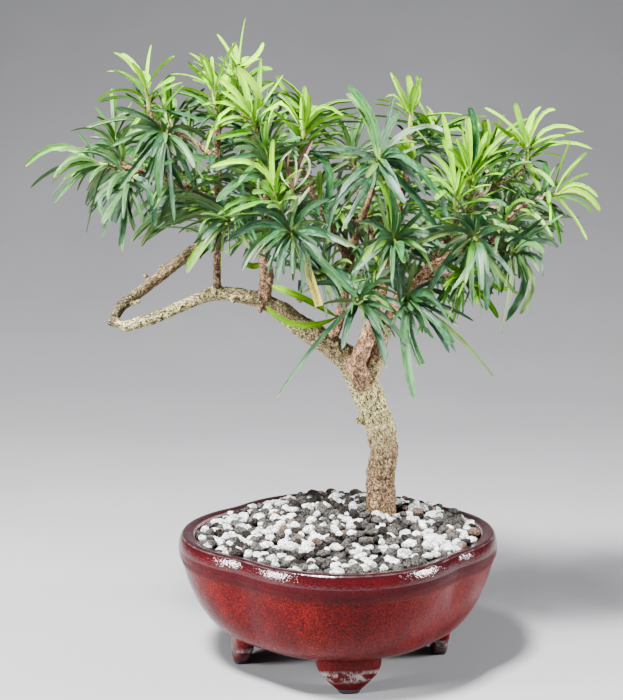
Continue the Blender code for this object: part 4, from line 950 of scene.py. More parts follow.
# Leaves that stand out one by one. Each row is the shoot and how far up its stem the leaf starts, or
# bark or twig and a place there; then the leaf's middle and tip, its width and its tone, and what
# it is where it isn't whole and green.
SINGLE_LEAVES = (
    ("bud_left", 0.9, (-0.0523, -0.0403, 0.3195), (-0.077, -0.0443, 0.3171), 0.0032, 0.85),
    ("top_front", 0.6, (-0.0691, -0.0252, 0.3516), (-0.0817, -0.0292, 0.3258), 0.0032, 0.85),
    ("top_front", 1.0, (-0.0492, -0.0290, 0.3605), (-0.0610, -0.0310, 0.3760), 0.0044, 0.95),
    ("top_front", 0.9, (-0.0625, -0.0300, 0.3612), (-0.0722, -0.0330, 0.3690), 0.0042, 0.90),
    ("top_tall", 1.0, (-0.0522, -0.0090, 0.3848), (-0.0470, -0.0100, 0.3935), 0.0040, 0.95),
    ("centre_left", 1.0, (-0.0389, -0.025, 0.3552), (-0.0256, -0.027, 0.3432), 0.0034, 0.95),
    ("top_centre", 0.6, (-0.0134, -0.0172, 0.354), (0.003, -0.0192, 0.3473), 0.0024, 0.60),
    ("twig", TWIG_END, (-0.0368, -0.038, 0.3166), (-0.029, -0.04, 0.3272), 0.0012, 0.50, "dead"),
    ("twig", TWIG_END, (-0.0266, -0.04, 0.3166), (-0.0278, -0.042, 0.3248), 0.0011, 0.55, "dead"),
    ("twig", TWIG_END, (-0.0189, -0.038, 0.3143), (-0.0219, -0.042, 0.3242), 0.0012, 0.50, "dead"),
    ("twig", TWIG_END, (-0.0243, -0.034, 0.3185), (-0.0171, -0.036, 0.3333), 0.0034, 0.12, "dead"),
    ("twig", TWIG_END, (-0.0321, -0.034, 0.3185), (-0.0309, -0.035, 0.3262), 0.0026, 0.05, "dead"),
    ("twig", (-0.0285, -0.036, 0.3018), (-0.0213, -0.038, 0.3048), (-0.0159, -0.04, 0.3101), 0.0015,
     0.05, "dead"),
    ("bud_left", 0, (-0.0473, -0.034, 0.2976), (-0.0489, -0.036, 0.3102), 0.0011, 0.60, "dead"),
    ("bud_left", 0, (-0.034, -0.033, 0.294), (-0.0321, -0.035, 0.303), 0.0013, 0.60, "dead"),
    ("bud_left", 0, (-0.0279, -0.035, 0.294), (-0.0189, -0.037, 0.3054), 0.0011, 0.60, "dead"),
    ("left_low", 0, (-0.0201, -0.035, 0.2567), (-0.0128, -0.037, 0.2338), 0.0054, 1.00, "cut", "dead"),
    ("bark", (-0.003, 0.004, 0.223), (-0.0227, -0.01, 0.2364), (-0.0421, -0.014, 0.2442), 0.0050, 0.82),
    ("bark", (-0.003, 0.004, 0.2218), (-0.0259, -0.01, 0.2193), (-0.0459, -0.014, 0.2317), 0.0046, 0.88),
    ("right_top", 0.5, (0.1301, -0.003, 0.3421), (0.1497, -0.005, 0.3402), 0.0032, 0.85),
    ("right_top", 0.2, (0.1352, -0.0034, 0.3329), (0.1574, -0.0054, 0.3291), 0.0034, 0.80),
    ("right_top", 0.8, (0.1236, -0.0036, 0.3482), (0.132, -0.0046, 0.3524), 0.0024, 0.85),
    ("right_top", 0.9, (0.1131, -0.0038, 0.3445), (0.1089, -0.0048, 0.3573), 0.0044, 0.70),
    ("right_top", 0.1, (0.1294, -0.0032, 0.3187), (0.1262, -0.0062, 0.2975), 0.0040, 0.20),
    ("right_tip", 1.0, (0.1461, -0.017, 0.3074), (0.1588, -0.019, 0.2994), 0.0026, 0.80),
    ("right_tip", 0.9, (0.1477, -0.0187, 0.3031), (0.1597, -0.0217, 0.2909), 0.0036, 0.85),
    ("right_tip", 0.7, (0.1457, -0.0201, 0.2976), (0.1545, -0.0231, 0.2897), 0.0020, 0.30),
    ("right_tip", 0.3, (0.1318, -0.0169, 0.2902), (0.1366, -0.0199, 0.2706), 0.0024, 0.30),
    ("right_low", 0.5, (0.0423, -0.025, 0.2178), (0.0504, -0.027, 0.1962), 0.0060, 0.10, "cut"),
    ("right_low", 0.8, (0.0553, -0.0296, 0.2276), (0.0669, -0.0326, 0.2118), 0.0054, 0.05, "cut"),
    ("low", 0.2, (0.0215, -0.0204, 0.2217), (0.029, -0.0224, 0.1975), 0.0056, 0.05),
    ("right_middle", 0, (0.0883, -0.032, 0.2904), (0.0961, -0.034, 0.2778), 0.0018, 0.90, "dead"),
    ("right_tall", 0, (0.0751, -0.02, 0.2945), (0.0767, -0.023, 0.2885), 0.0036, 0.50, "dead"),
    ("right_tall", 0, (0.0876, -0.018, 0.3), (0.0922, -0.019, 0.3073), 0.0016, 0.45, "dead"),
    ("right_tall", 0, (0.0857, -0.018, 0.3043), (0.0903, -0.019, 0.3116), 0.0014, 0.50, "dead"),
    ("right_hanging", 1.0, (0.1131, -0.027, 0.2452), (0.1001, -0.03, 0.2233), 0.0044, 0.10),
    ("right_hanging", 0.9, (0.1176, -0.0254, 0.2482), (0.1097, -0.0274, 0.2286), 0.0040, 0.05),
    ("right_hanging", 0.7, (0.1218, -0.0242, 0.2628), (0.1249, -0.0252, 0.2512), 0.0034, 0.10),
    ("left_hanging", 1.0, (-0.1305, -0.027, 0.2879), (-0.1336, -0.029, 0.2698), 0.0034, 0.10),
    ("left_hanging", 1.0, (-0.1396, -0.027, 0.2904), (-0.1451, -0.029, 0.2752), 0.0030, 0.10),
    ("left_hanging", 0.8, (-0.1456, -0.0268, 0.2988), (-0.1401, -0.0288, 0.2843), 0.0030, 0.15),
    ("left_hanging", 0.4, (-0.1258, -0.0244, 0.2988), (-0.1197, -0.0264, 0.2855), 0.0024, 0.20),
    ("left_hanging", 0.1, (-0.1183, -0.0246, 0.3073), (-0.1151, -0.0276, 0.294), 0.0048, 0.05),
    ("left_inner", 0.5, (-0.1085, -0.0285, 0.3234), (-0.1098, -0.0305, 0.3006), 0.0048, 0.05),
    ("top_centre", 0.1, (-0.0073, -0.0192, 0.3183), (-0.0091, -0.0222, 0.2915), 0.0048, 0.00),
    ("top_centre", 0.1, (-0.0079, -0.0182, 0.3334), (0.0073, -0.0212, 0.3231), 0.0050, 0.05),
    ("bark", (-0.0759, 0.0, 0.2737), (-0.086, -0.008, 0.2695), (-0.0954, -0.01, 0.2565), 0.0040, 0.50),
    ("bark", (-0.0492, 0.01, 0.258), (-0.0541, 0.004, 0.2557), (-0.061, 0.002, 0.2577), 0.0044, 0.60),
    ("centre", 0, (0.0302, -0.02, 0.2958), (0.0309, -0.022, 0.2768), 0.0050, 0.60),
    ("centre_low", 0, (0.0385, -0.026, 0.28), (0.0475, -0.028, 0.2819), 0.0044, 0.42),
    ("centre", 1.0, (0.0465, -0.036, 0.3155), (0.064, -0.038, 0.2869), 0.0046, 0.03),
    ("centre", 0.6, (0.0421, -0.0318, 0.3036), (0.0584, -0.0348, 0.2808), 0.0050, 0.00),
    ("centre", 1.0, (0.0291, -0.037, 0.3095), (0.0374, -0.04, 0.2959), 0.0050, 0.00),
    ("centre", 1.0, (0.0191, -0.027, 0.3468), (0.0046, -0.025, 0.3659), 0.0052, 0.14),
    ("top_right", 0.8, (0.0444, -0.0036, 0.3629), (0.0423, -0.0046, 0.3744), 0.0040, 0.90),
    ("top_right", 0.7, (0.0382, -0.0034, 0.3629), (0.0337, -0.0044, 0.3732), 0.0026, 0.85),
    ("top_right", 0.8, (0.0495, -0.0026, 0.3624), (0.0474, -0.0036, 0.3745), 0.0022, 0.80),
    ("top_right", 0.5, (0.0358, -0.003, 0.3611), (0.0282, -0.004, 0.3598), 0.0024, 0.70),
    ("right_tall", 0.9, (0.0825, -0.0146, 0.3354), (0.0787, -0.0136, 0.3536), 0.0054, 0.15),
    ("right_tall", 0.9, (0.0788, -0.0196, 0.334), (0.0773, -0.0206, 0.3478), 0.0040, 1.00),
    ("right_tall", 0.8, (0.0693, -0.0192, 0.3237), (0.0634, -0.0212, 0.3357), 0.0048, 0.80),
    ("right_tall", 0.7, (0.074, -0.0208, 0.3237), (0.0692, -0.0238, 0.3338), 0.0044, 0.95),
    ("bark", (0.0406, -0.002, 0.3174), (0.0384, -0.005, 0.3285), (0.0351, -0.006, 0.337), 0.0034, 0.85),
    ("bark", (0.0412, -0.002, 0.3174), (0.042, -0.007, 0.3284), (0.0393, -0.009, 0.3381), 0.0032, 0.90),
    ("bark", (0.0418, -0.002, 0.3174), (0.0459, -0.005, 0.3254), (0.0445, -0.006, 0.3334), 0.0030, 0.80),
)
SINGLE_FACE = Vector((0, -0.8, 0.7))
SINGLE_STEP = 0.002
WITHERED_TWIG = ((-0.0298, -0.034, 0.2790), (-0.0285, -0.036, 0.3042))
BUD_SCALES = 7
BUD_SCALE_LENGTH = 0.0042
BUD_SCALE_WIDTH = 0.0024
BUD_SCALE_FOLD = 0.0005
# Rows of x and the lowest and highest place of a leaf's tip there, round the stepped crown.
CROWN = (
    (-0.192, 0.304, 0.322),
    (-0.155, 0.286, 0.352),
    (-0.136, 0.270, 0.384),
    (-0.105, 0.282, 0.386),
    (-0.088, 0.264, 0.390),
    (-0.066, 0.260, 0.402),
    (-0.044, 0.254, 0.388),
    (-0.028, 0.247, 0.366),
    (0.006, 0.224, 0.358),
    (0.045, 0.208, 0.372),
    (0.066, 0.214, 0.354),
    (0.110, 0.240, 0.353),
    (0.138, 0.270, 0.343),
    (0.158, 0.288, 0.312),
)
# The crown's front and back, then how leaves are made inside it.
CROWN_FRONT = -0.084
CROWN_BACK = 0.098
LEAF_WIDTH = 0.0047
BLADE_SLIMMING = 0.86
LEAF_FOLD = 0.001
LEAF_ROOM = 0.0001
OWN_START = 0.13
INNER_MARGIN = 0.025
YOUNG_NARROWING = 0.22
LONG_LEAF = 0.0540
LONG_WIDENING = 1.4
LONG_BOW = (-0.0035, 0, 0)
NEEDLE_LEAF = 0.064
NEEDLE_SLIMMING = 0.58
YOUNG_AT_FOOT = 0.35
YOUNG_SHOOT = 0.38
LEAF_SMOOTHING = math.radians(30)
# Keeping leaves inside the solids' box: the margin, and how much and how often one is shortened.
BOX_MARGIN = 0.0002
SHRINK = 0.98
SHRINK_TRIES = 12
# How a leaf arches, narrows and ends, as shares of its length and width.
ARCHES = (0.01, 0.13)
SIDEWAYS_BOW = 0.05
TAPER_START = 0.4
CUT_FROM = 0.5
CUT_WIDTH = 0.96
# How drawn leaves differ: twist and roll in radians, then shares of the usual width, fold and taper.
MOST_TWIST = 0.8
ROLL = 0.6
WIDTH_SHARES = (0.55, 1.05)
FOLD_SHARES = (0.4, 1.2)
TAPERS = (0.0, 0.6)
# Where on its stem a drawn leaf starts, how it leans out in degrees, how it sags and how long it is.
STEM_RANGE = (-0.8, 1.0)
LEAN_SHARE = 0.66
LEAN_SPREAD = 20
SAGS = (0.10, 0.85)
YOUNG_STIFFNESS = 0.75
LENGTH_SHARES = (0.55, 1.18)
ROOT_OUT = 0.0006
# How often a place is tried for a leaf, how deep its foot sits in the bark and how far it stays off.
ARCH_TRIES = 8
LEAF_TRIES = 18
SINGLE_TRIES = 9
BARK_SINK = 0.0005
BARK_CLEARANCE = 0.0012
# What marks the tip of a solid's blade: its shortest edge, and how nearly its edges point one way.
TIP_EDGE = 0.005
TIP_CLOSENESS = 0.93
# Branches that show between the leaves: from, to, and how far leaves keep off in front.
BRANCHES_IN_SIGHT = (
    ((0.0480, 0.002, 0.2440), (0.0780, -0.006, 0.2640), 0.0050),
    ((-0.1100, -0.008, 0.3460), (-0.0800, -0.006, 0.3270), 0.0035),
    ((0.0400, 0.004, 0.2960), (0.0420, 0.002, 0.3200), 0.0035),
    ((0.0160, 0.004, 0.2860), (0.0190, 0.000, 0.3050), 0.0035),
)
# Leaves on bare twigs: how many, how many tries, how thick a twig may be, and where they end.
TWIG_LEAVES = 700
TWIG_LEAF_TRIES = 9000
TWIG_THICKNESS = 0.0050
TWIG_LEAF_LOWEST = 0.225
TWIG_LEAF_LEFT = -0.125
CROWN_MIDDLE = Vector((0.0, 0.010, 0.300))
BLADE_ROWS = (0.24, 0.70)
BLADE_ROW_WIDTH = 0.92
STEM_RADIUS = 0.0016
STEM_SIDES = 10
# Rows along a leaf from its stalk to its tip: place and half width, as shares.
LEAF_ROWS = (
    (0.0, 0.30),
    (0.05, 0.34),
    (0.12, 0.64),
    (0.24, 0.90),
    (0.42, 1.0),
    (0.62, 1.0),
    (0.80, 0.97),
    (0.91, 0.85),
    (0.97, 0.62),
    (1.0, 0.20),
)
# The corners of its folded section: place across, and height over the margins as a share of the fold.
LEAF_CORNERS = ((0.5, -0.38), (0.0, -0.84), (-0.5, -0.38), (-1.0, 0.0), (0.0, -1.15), (1.0, 0.0))
UNDER_CORNER = 4

deselect_all()
bpy.ops.mesh.primitive_circle_add(vertices=6, radius=1.0, rotation=(math.pi / 2, 0, 0))
leaf_form = bpy.context.object
bpy.ops.object.transform_apply(location=False, rotation=True, scale=False)
bpy.ops.object.mode_set(mode="EDIT")
bpy.ops.mesh.select_all(action="SELECT")
for row, next_row in zip(LEAF_ROWS, LEAF_ROWS[1:]):
    bpy.ops.mesh.extrude_region_move(TRANSFORM_OT_translate={"value": (0, next_row[0] - row[0], 0)})
select_open_edges()
bpy.ops.mesh.edge_face_add()
bpy.ops.object.mode_set(mode="OBJECT")
outward_faces(leaf_form)
leaf_spots = []
for vert in leaf_form.data.vertices:
    corner = round((math.degrees(math.atan2(vert.co.z, vert.co.x)) % 360 - 30) / 60)
    row = min(range(len(LEAF_ROWS)), key=lambda i: abs(LEAF_ROWS[i][0] - vert.co.y))
    leaf_spots.append((corner, row))
leaf_faces = [tuple(face.vertices) for face in leaf_form.data.polygons]
leaf_undersides = [float(UNDER_CORNER in [leaf_spots[index][0] for index in face]) for face in leaf_faces]
bpy.data.objects.remove(leaf_form)


class Leaf:
    """A strap leaf along a curve: root + start * t + drop * t * t + bow * 4 * t * (1 - t)."""

    def __init__(self, root, start, drop, side, twist, width):
        self.root = root
        self.start = start
        self.drop = drop
        self.bow = Vector()
        self.side = side
        self.twist = twist
        self.width = width
        self.young = 0.0
        self.fold = LEAF_FOLD
        self.cut = False
        self.taper = 0.0

    def at(self, t):
        along = (self.start + self.drop * (2 * t) + self.bow * (4 - 8 * t)).normalized()
        side = (self.side - along * self.side.dot(along)).normalized()
        side = Matrix.Rotation(self.twist * t, 3, along) @ side
        place = self.root + self.start * t + self.drop * (t * t) + self.bow * (4 * t * (1 - t))
        return place, side, side.cross(along)

    def arch(self, rng):
        """Bows the leaf: up between its ends, and to one side."""
        reach = self.start + self.drop
        upward = Vector((0, 0, 1)) - reach * (reach.z / reach.length_squared)
        self.bow = upward * rng.uniform(*ARCHES) * reach.length
        self.bow += self.side.normalized() * rng.gauss(0, SIDEWAYS_BOW) * reach.length

    def keep_inside(self):
        """Shortens the leaf until all of it is inside the box of the solids."""
        for attempt in range(SHRINK_TRIES):
            points = self.points()
            if all(low + BOX_MARGIN < value < high - BOX_MARGIN for point in points
                   for low, value, high in zip(cad_box[0], point, cad_box[1])):
                return
            self.start = self.start * SHRINK
            self.drop = self.drop * SHRINK
            self.bow = self.bow * SHRINK

    def points(self):
        width = self.width * (1 - YOUNG_NARROWING * self.young)
        rows = []
        for place, share in LEAF_ROWS:
            middle, side, up = self.at(place)
            share *= 1 - self.taper * max(0.0, place - TAPER_START) / (1 - TAPER_START)
            if self.cut and place > CUT_FROM:
                share = CUT_WIDTH
            depth = (0.25 + 0.75 * share) * self.fold
            rows.append([middle + side * (across * share * width / 2) + up * (height * depth)
                         for across, height in LEAF_CORNERS])
        return [rows[row][corner] for corner, row in leaf_spots]

    def room(self, start):
        """A coarse closed shape round the leaf, from a share of its length on."""
        width = self.width * (1 - YOUNG_NARROWING * self.young)
        verts = []
        for place, share in ((start, 0.5), (0.28, 0.9), (0.64, 1.0), (1.0, 0.2)):
            middle, side, up = self.at(max(place, start))
            half = share * width / 2 + LEAF_ROOM
            verts += [middle + side * half + up * LEAF_ROOM, middle - side * half + up * LEAF_ROOM,
                      middle - up * (LEAF_ROOM + 1.1 * self.fold * share)]
        return verts


ROOM_FACES = [(0, 1, 2), (9, 10, 11)] + [
    (3 * row + i, 3 * row + (i + 1) % 3, 3 * row + 3 + (i + 1) % 3, 3 * row + 3 + i)
    for row in range(3) for i in range(3)]


class Rooms:
    """The space that is taken already, as closed shapes with their boxes."""

    def __init__(self):
        self.lows = np.zeros((0, 3))
        self.highs = np.zeros((0, 3))
        self.trees = []

    def add(self, verts, polygons=ROOM_FACES):
        corners = np.array(verts)
        self.lows = np.vstack([self.lows, corners.min(0)])
        self.highs = np.vstack([self.highs, corners.max(0)])
        self.trees.append(BVHTree.FromPolygons(verts, polygons))

    def hit(self, verts):
        """Whether a leaf's room runs into a space that is taken."""
        corners = np.array(verts)
        near = ((self.lows < corners.max(0)) & (self.highs > corners.min(0))).all(1)
        tree = None
        for index in np.flatnonzero(near):
            tree = tree or BVHTree.FromPolygons(verts, ROOM_FACES)
            if self.trees[index].overlap(tree):
                return True
        return False


def read_blades(name):
    """The middle of a solid's leaves at two rows and their tips, with the sideways directions."""
    shoot = merged_copy("blades", name)
    mesh = shoot.data
    neighbours = [set() for vert in mesh.vertices]
    for edge in mesh.edges:
        first, second = edge.vertices
        neighbours[first].add(second)
        neighbours[second].add(first)
    places = [vert.co.copy() for vert in mesh.vertices]
    bpy.data.objects.remove(shoot)
    blades = []
    for index, around in enumerate(neighbours):
        if len(around) != 3:
            continue
        reaches = [places[other] - places[index] for other in around]
        together = sum((reach.normalized() for reach in reaches), Vector()).length / 3
        if min(reach.length for reach in reaches) < TIP_EDGE or together < TIP_CLOSENESS:
            continue
        rows = [around]
        rows.append(set().union(*(neighbours[other] for other in around)) - around - {index})
        if len(rows[1]) != 3:
            continue
        middles, sides = [], []
        for row in rows:
            corners = [places[other] for other in row]
            pairs = [(a, b) for a in corners for b in corners]
            first, second = max(pairs, key=lambda pair: (pair[0] - pair[1]).length)
            keel = next(corner for corner in corners if corner not in (first, second))
            middle = (first + second) / 2
            side = first - second
            if side.cross(places[index] - middle).dot(middle - keel) < 0:
                side = -side
            middles.append(middle)
            sides.append(side)
        blades.append((middles[1], middles[0], places[index], sides[1], sides[0]))
    return blades


def blade_leaf(near, far, tip, near_side, far_side):
    """The leaf whose curve runs through a blade's two rows and its tip."""
    s, t = BLADE_ROWS
    drop = ((tip - far) / (1 - t) - (far - near) / (t - s)) / (1 - s)
    start = (far - near) / (t - s) - drop * (s + t)
    root = near - start * s - drop * (s * s)
    along = (start + drop * (2 * t)).normalized()
    level = (near_side - along * near_side.dot(along)).normalized()
    turned = (far_side - along * far_side.dot(along)).normalized()
    twist = math.atan2(level.cross(turned).dot(along), level.dot(turned)) / (t - s)
    twist = max(-MOST_TWIST, min(MOST_TWIST, twist))
    side = Matrix.Rotation(-twist * s, 3, start.normalized()) @ near_side.normalized()
    return Leaf(root, start, drop, side, twist, BLADE_SLIMMING * far_side.length / BLADE_ROW_WIDTH)


def between(x):
    """The crown's lowest and highest place for a leaf's tip at x, which cross outside the crown."""
    for (x0, low0, high0), (x1, low1, high1) in zip(CROWN, CROWN[1:]):
        if x0 <= x <= x1:
            share = (x - x0) / (x1 - x0)
            return low0 + (low1 - low0) * share, high0 + (high1 - high0) * share
    return 1.0, 0.0


def bent_leaf(root, direction, bend, length, face, rng):
    """A leaf that sets off in a direction, bends by a share of its length, and faces a way."""
    length /= 1 + 0.5 * bend.length
    start = direction * length
    drop = bend * length
    reach = (start + drop).normalized()
    side = Matrix.Rotation(rng.gauss(0, ROLL), 3, reach) @ reach.cross(face).normalized()
    twist = rng.uniform(-MOST_TWIST, MOST_TWIST)
    leaf = Leaf(root, start, drop, side, twist, LEAF_WIDTH * rng.uniform(*WIDTH_SHARES))
    leaf.fold = LEAF_FOLD * rng.uniform(*FOLD_SHARES)
    leaf.taper = rng.uniform(*TAPERS)
    leaf.arch(rng)
    leaf.keep_inside()
    return leaf


def grown_leaf(base, stem, length, low, high, young, rng, turn):
    """A leaf on the stem or on the twig below it, that leans out, arches over and sags."""
    axis = stem.normalized()
    outward = Matrix.Rotation(turn, 3, axis) @ axis.orthogonal().normalized()
    share = rng.uniform(*STEM_RANGE)
    up_stem = max(0.0, share)
    lean = (low + (high - low) * up_stem) * LEAN_SHARE + rng.uniform(-LEAN_SPREAD, LEAN_SPREAD)
    lean = math.radians(lean)
    root = base + stem * share + outward * ROOT_OUT
    if share < 0.05:
        found, normal, index, away = bark_tree.find_nearest(root + outward * 0.0010)
        if away > BARK_CLEARANCE:
            return None
        root = found - normal * BARK_SINK
    direction = axis * math.cos(lean) + outward * math.sin(lean)
    sag = rng.uniform(*SAGS) * (1 - YOUNG_STIFFNESS * young) * math.hypot(direction.x, direction.y)
    bend = outward * rng.uniform(0.0, 0.45) - Vector((0, 0, sag))
    face = axis - (direction - axis * direction.dot(axis)) * 0.5
    length *= rng.uniform(*LENGTH_SHARES) * (1 - 0.25 * up_stem - 0.35 * max(0.0, up_stem - 0.75) / 0.25)
    leaf = bent_leaf(root, direction, bend, length, face, rng)
    leaf.young = young * (YOUNG_AT_FOOT + (1 - YOUNG_AT_FOOT) * up_stem)
    return leaf


rng = random.Random(5)
rooms = Rooms()
leaves = {}
stems = {}
for name, (foot, stem, *others, young) in SHOOTS.items():
    base = POT_AXIS + Vector(foot)
    stem = Vector(stem)
    axis = stem.normalized()
    line = [(base + axis * 0.0003, STEM_RADIUS), (base + stem * 0.30, STEM_RADIUS * 0.93),
            (base + stem * 0.62, STEM_RADIUS * 0.86), (base + stem * 0.92, STEM_RADIUS * 0.72),
            (base + stem * 1.04, STEM_RADIUS * 0.42)]
    stems[name] = tube(line, STEM_SIDES)
    rooms.add(*stems[name])
    leaves[name] = []
    for blade in read_blades("shoot_" + name):
        leaf = blade_leaf(*blade)
        height = min(1.0, max(0.0, (leaf.root - base).dot(axis) / stem.length))
        leaf.young = young * (YOUNG_AT_FOOT + (1 - YOUNG_AT_FOOT) * height)
        leaf.fold = LEAF_FOLD * rng.uniform(0.5, 1.1)
        leaf.taper = rng.uniform(0.0, 0.45)
        drop, twist = leaf.drop, leaf.twist
        slim = (drop + leaf.start).length > LONG_LEAF
        if slim:
            leaf.width *= LONG_WIDENING
            leaf.taper = 0.25
            leaf.bow = Vector(LONG_BOW)
            leaf.side, twist = (drop + leaf.start).cross(SINGLE_FACE).normalized(), 0.0
        if (drop + leaf.start).length > NEEDLE_LEAF:
            leaf.width *= NEEDLE_SLIMMING
            leaf.taper = 0.5
            leaf.bow = Vector()
        tip = leaf.at(1.0)[0] - POT_AXIS
        lowest, highest = between(tip.x)
        swing = 0.3
        if lowest + INNER_MARGIN < tip.z < highest - INNER_MARGIN:
            swing = 0.9
            share = rng.uniform(0.72, 1.0)
            leaf.start, leaf.drop, drop = leaf.start * share, leaf.drop * share, drop * share
            leaf.width *= rng.uniform(0.8, 1.0)
        for attempt in range(ARCH_TRIES):
            if not slim:
                leaf.arch(rng)
            sag = rng.uniform(0.0, 0.16) * (1 - leaf.young) * (drop + leaf.start).length
            leaf.drop = drop - Vector((0, 0, sag))
            leaf.twist = twist + rng.uniform(-swing, swing)
            leaf.keep_inside()
            if not rooms.hit(leaf.room(OWN_START)):
                break
            leaf.drop, leaf.twist, leaf.bow = drop, twist, Vector()
        leaf.keep_inside()
        leaves[name].append(leaf)
        rooms.add(leaf.room(OWN_START))

bark_tree = search_tree(bark)


def clear_of_bark(leaf):
    """Whether a leaf's middle and edges stay away from the bark."""
    for t in (0.2, 0.35, 0.5, 0.65, 0.8, 0.92, 1.0):
        place, side = leaf.at(t)[:2]
        for across in (-0.4, 0.4):
            if bark_tree.find_nearest(place + side * (across * leaf.width), BARK_CLEARANCE)[0]:
                return False
    return True


def hides_branch(leaf):
    """Whether the leaf would stand in front of a branch that shows between the leaves."""
    eye = POT_AXIS + CAMERA_PLACE
    for t in (0.1, 0.3, 0.5, 0.7, 0.85, 1.0):
        place = leaf.at(t)[0]
        for first, second, width in BRANCHES_IN_SIGHT:
            first, second = POT_AXIS + Vector(first), POT_AXIS + Vector(second)
            aside = (first - eye).cross(second - eye).normalized()
            share = (place - first).dot(second - first) / (second - first).length_squared
            in_front = place.y < first.lerp(second, share).y
            if in_front and -0.05 < share < 1.05 and abs((place - eye).dot(aside)) < width:
                return True
    return False


def inside_crown(leaf):
    tip = leaf.at(1.0)[0] - POT_AXIS
    lowest, highest = between(tip.x)
    return lowest < tip.z < highest and CROWN_FRONT < tip.y < CROWN_BACK


twig = [POT_AXIS + Vector(place) for place in WITHERED_TWIG]
withered_stem = tube([(twig[0], 0.0013), (twig[0].lerp(twig[1], 0.5), 0.0012), (twig[1], 0.0009)], STEM_SIDES)
rooms.add(*withered_stem)
dead_leaves = []
for name, start_place, middle, tip, width, young, *kind in SINGLE_LEAVES:
    if name in SHOOTS:
        foot, stem = SHOOTS[name][:2]
        root = POT_AXIS + Vector(foot) + Vector(stem) * start_place
    elif name == "bark":
        root = bark_tree.find_nearest(POT_AXIS + Vector(start_place))[0]
    else:
        root = POT_AXIS + Vector(start_place)
    for step in range(SINGLE_TRIES):
        nearer = Vector((0, -SINGLE_STEP * step, 0))
        end = POT_AXIS + Vector(tip) + nearer
        drop = 2 * (root + end - 2 * (POT_AXIS + Vector(middle) + nearer * 0.6))
        reach = end - root
        side = Matrix.Rotation(rng.gauss(0, 0.12), 3, reach.normalized()) @ reach.cross(SINGLE_FACE)
        leaf = Leaf(root, reach - drop, drop, side.normalized(), rng.uniform(-0.2, 0.2),
                    width / (1 - YOUNG_NARROWING * young))
        leaf.young = young
        leaf.cut = "cut" in kind
        if leaf.cut:
            leaf.side, leaf.twist = reach.cross(SINGLE_FACE).normalized(), 0.0
        leaf.fold = LEAF_FOLD * (1.5 if "dead" in kind else 0.8)
        leaf.keep_inside()
        room = leaf.room(0.2)
        if not rooms.hit(room):
            rooms.add(room)
            if "dead" in kind:
                dead_leaves.append(leaf)
            else:
                leaves[name if name in SHOOTS else "bud_left"].append(leaf)
            break
for foot, stem, *others in SHOOTS.values():
    base = POT_AXIS + Vector(foot)
    axis = Vector(stem).normalized()
    for number in range(BUD_SCALES):
        turn = Matrix.Rotation(number * GOLDEN_ANGLE, 3, axis)
        outward = turn @ axis.orthogonal().normalized()
        lean = math.radians(rng.uniform(25, 75))
        size = BUD_SCALE_LENGTH * rng.uniform(0.6, 1.2)
        start = (axis * math.cos(lean) + outward * math.sin(lean)) * size
        root = base + Vector(stem) * rng.uniform(-0.05, 0.22) + outward * STEM_RADIUS * 0.8
        scale = Leaf(root, start, outward * size * 0.2, axis.cross(outward), 0.0, BUD_SCALE_WIDTH)
        scale.young = rng.uniform(0.05, 0.35)
        scale.fold = BUD_SCALE_FOLD
        scale.keep_inside()
        dead_leaves.append(scale)

for number in range(max(row[2] for row in SHOOTS.values())):
    for name, (foot, stem, count, length, low, high, young) in SHOOTS.items():
        if len(leaves[name]) >= count:
            continue
        base = POT_AXIS + Vector(foot)
        for attempt in range(LEAF_TRIES):
            turn = number * GOLDEN_ANGLE + rng.uniform(-0.8, 0.8)
            leaf = grown_leaf(base, Vector(stem), length, low, high, young, rng, turn)
            if not leaf or not inside_crown(leaf) or hides_branch(leaf) or not clear_of_bark(leaf):
                continue
            room = leaf.room(OWN_START)
            if not rooms.hit(room):
                leaves[name].append(leaf)
                rooms.add(room)
                break

thin_spots = []
for vert in bark.data.vertices:
    place = vert.co - POT_AXIS
    if place.z > TWIG_LEAF_LOWEST and place.x > TWIG_LEAF_LEFT:
        if bark_tree.ray_cast(vert.co - vert.normal * 0.0002, -vert.normal, TWIG_THICKNESS)[3]:
            thin_spots.append((vert.co.copy(), vert.normal.copy()))
twig_leaves = []
for attempt in range(TWIG_LEAF_TRIES):
    if len(twig_leaves) >= TWIG_LEAVES:
        break
    root, normal = rng.choice(thin_spots)
    scatter = Vector([rng.gauss(0, 0.35) for axis in range(3)])
    outward = root - POT_AXIS - CROWN_MIDDLE
    outward.z *= 0.4
    direction = (normal * 0.9 + outward.normalized() * 0.5 + Vector((0, 0, 0.45)) + scatter).normalized()
    if direction.dot(normal) < 0.35:
        continue
    bend = outward.normalized() * rng.uniform(0.0, 0.3) - Vector((0, 0, rng.uniform(0.1, 0.8)))
    leaf = bent_leaf(root - normal * BARK_SINK, direction, bend, rng.uniform(0.020, 0.048),
                     Vector((0, 0, 1)) + scatter, rng)
    leaf.young = rng.choice((0.0, 0.1, 0.2, 0.45))
    room = leaf.room(OWN_START)
    if (inside_crown(leaf) and not hides_branch(leaf) and not rooms.hit(room)
            and clear_of_bark(leaf)):
        twig_leaves.append(leaf)
        rooms.add(room)


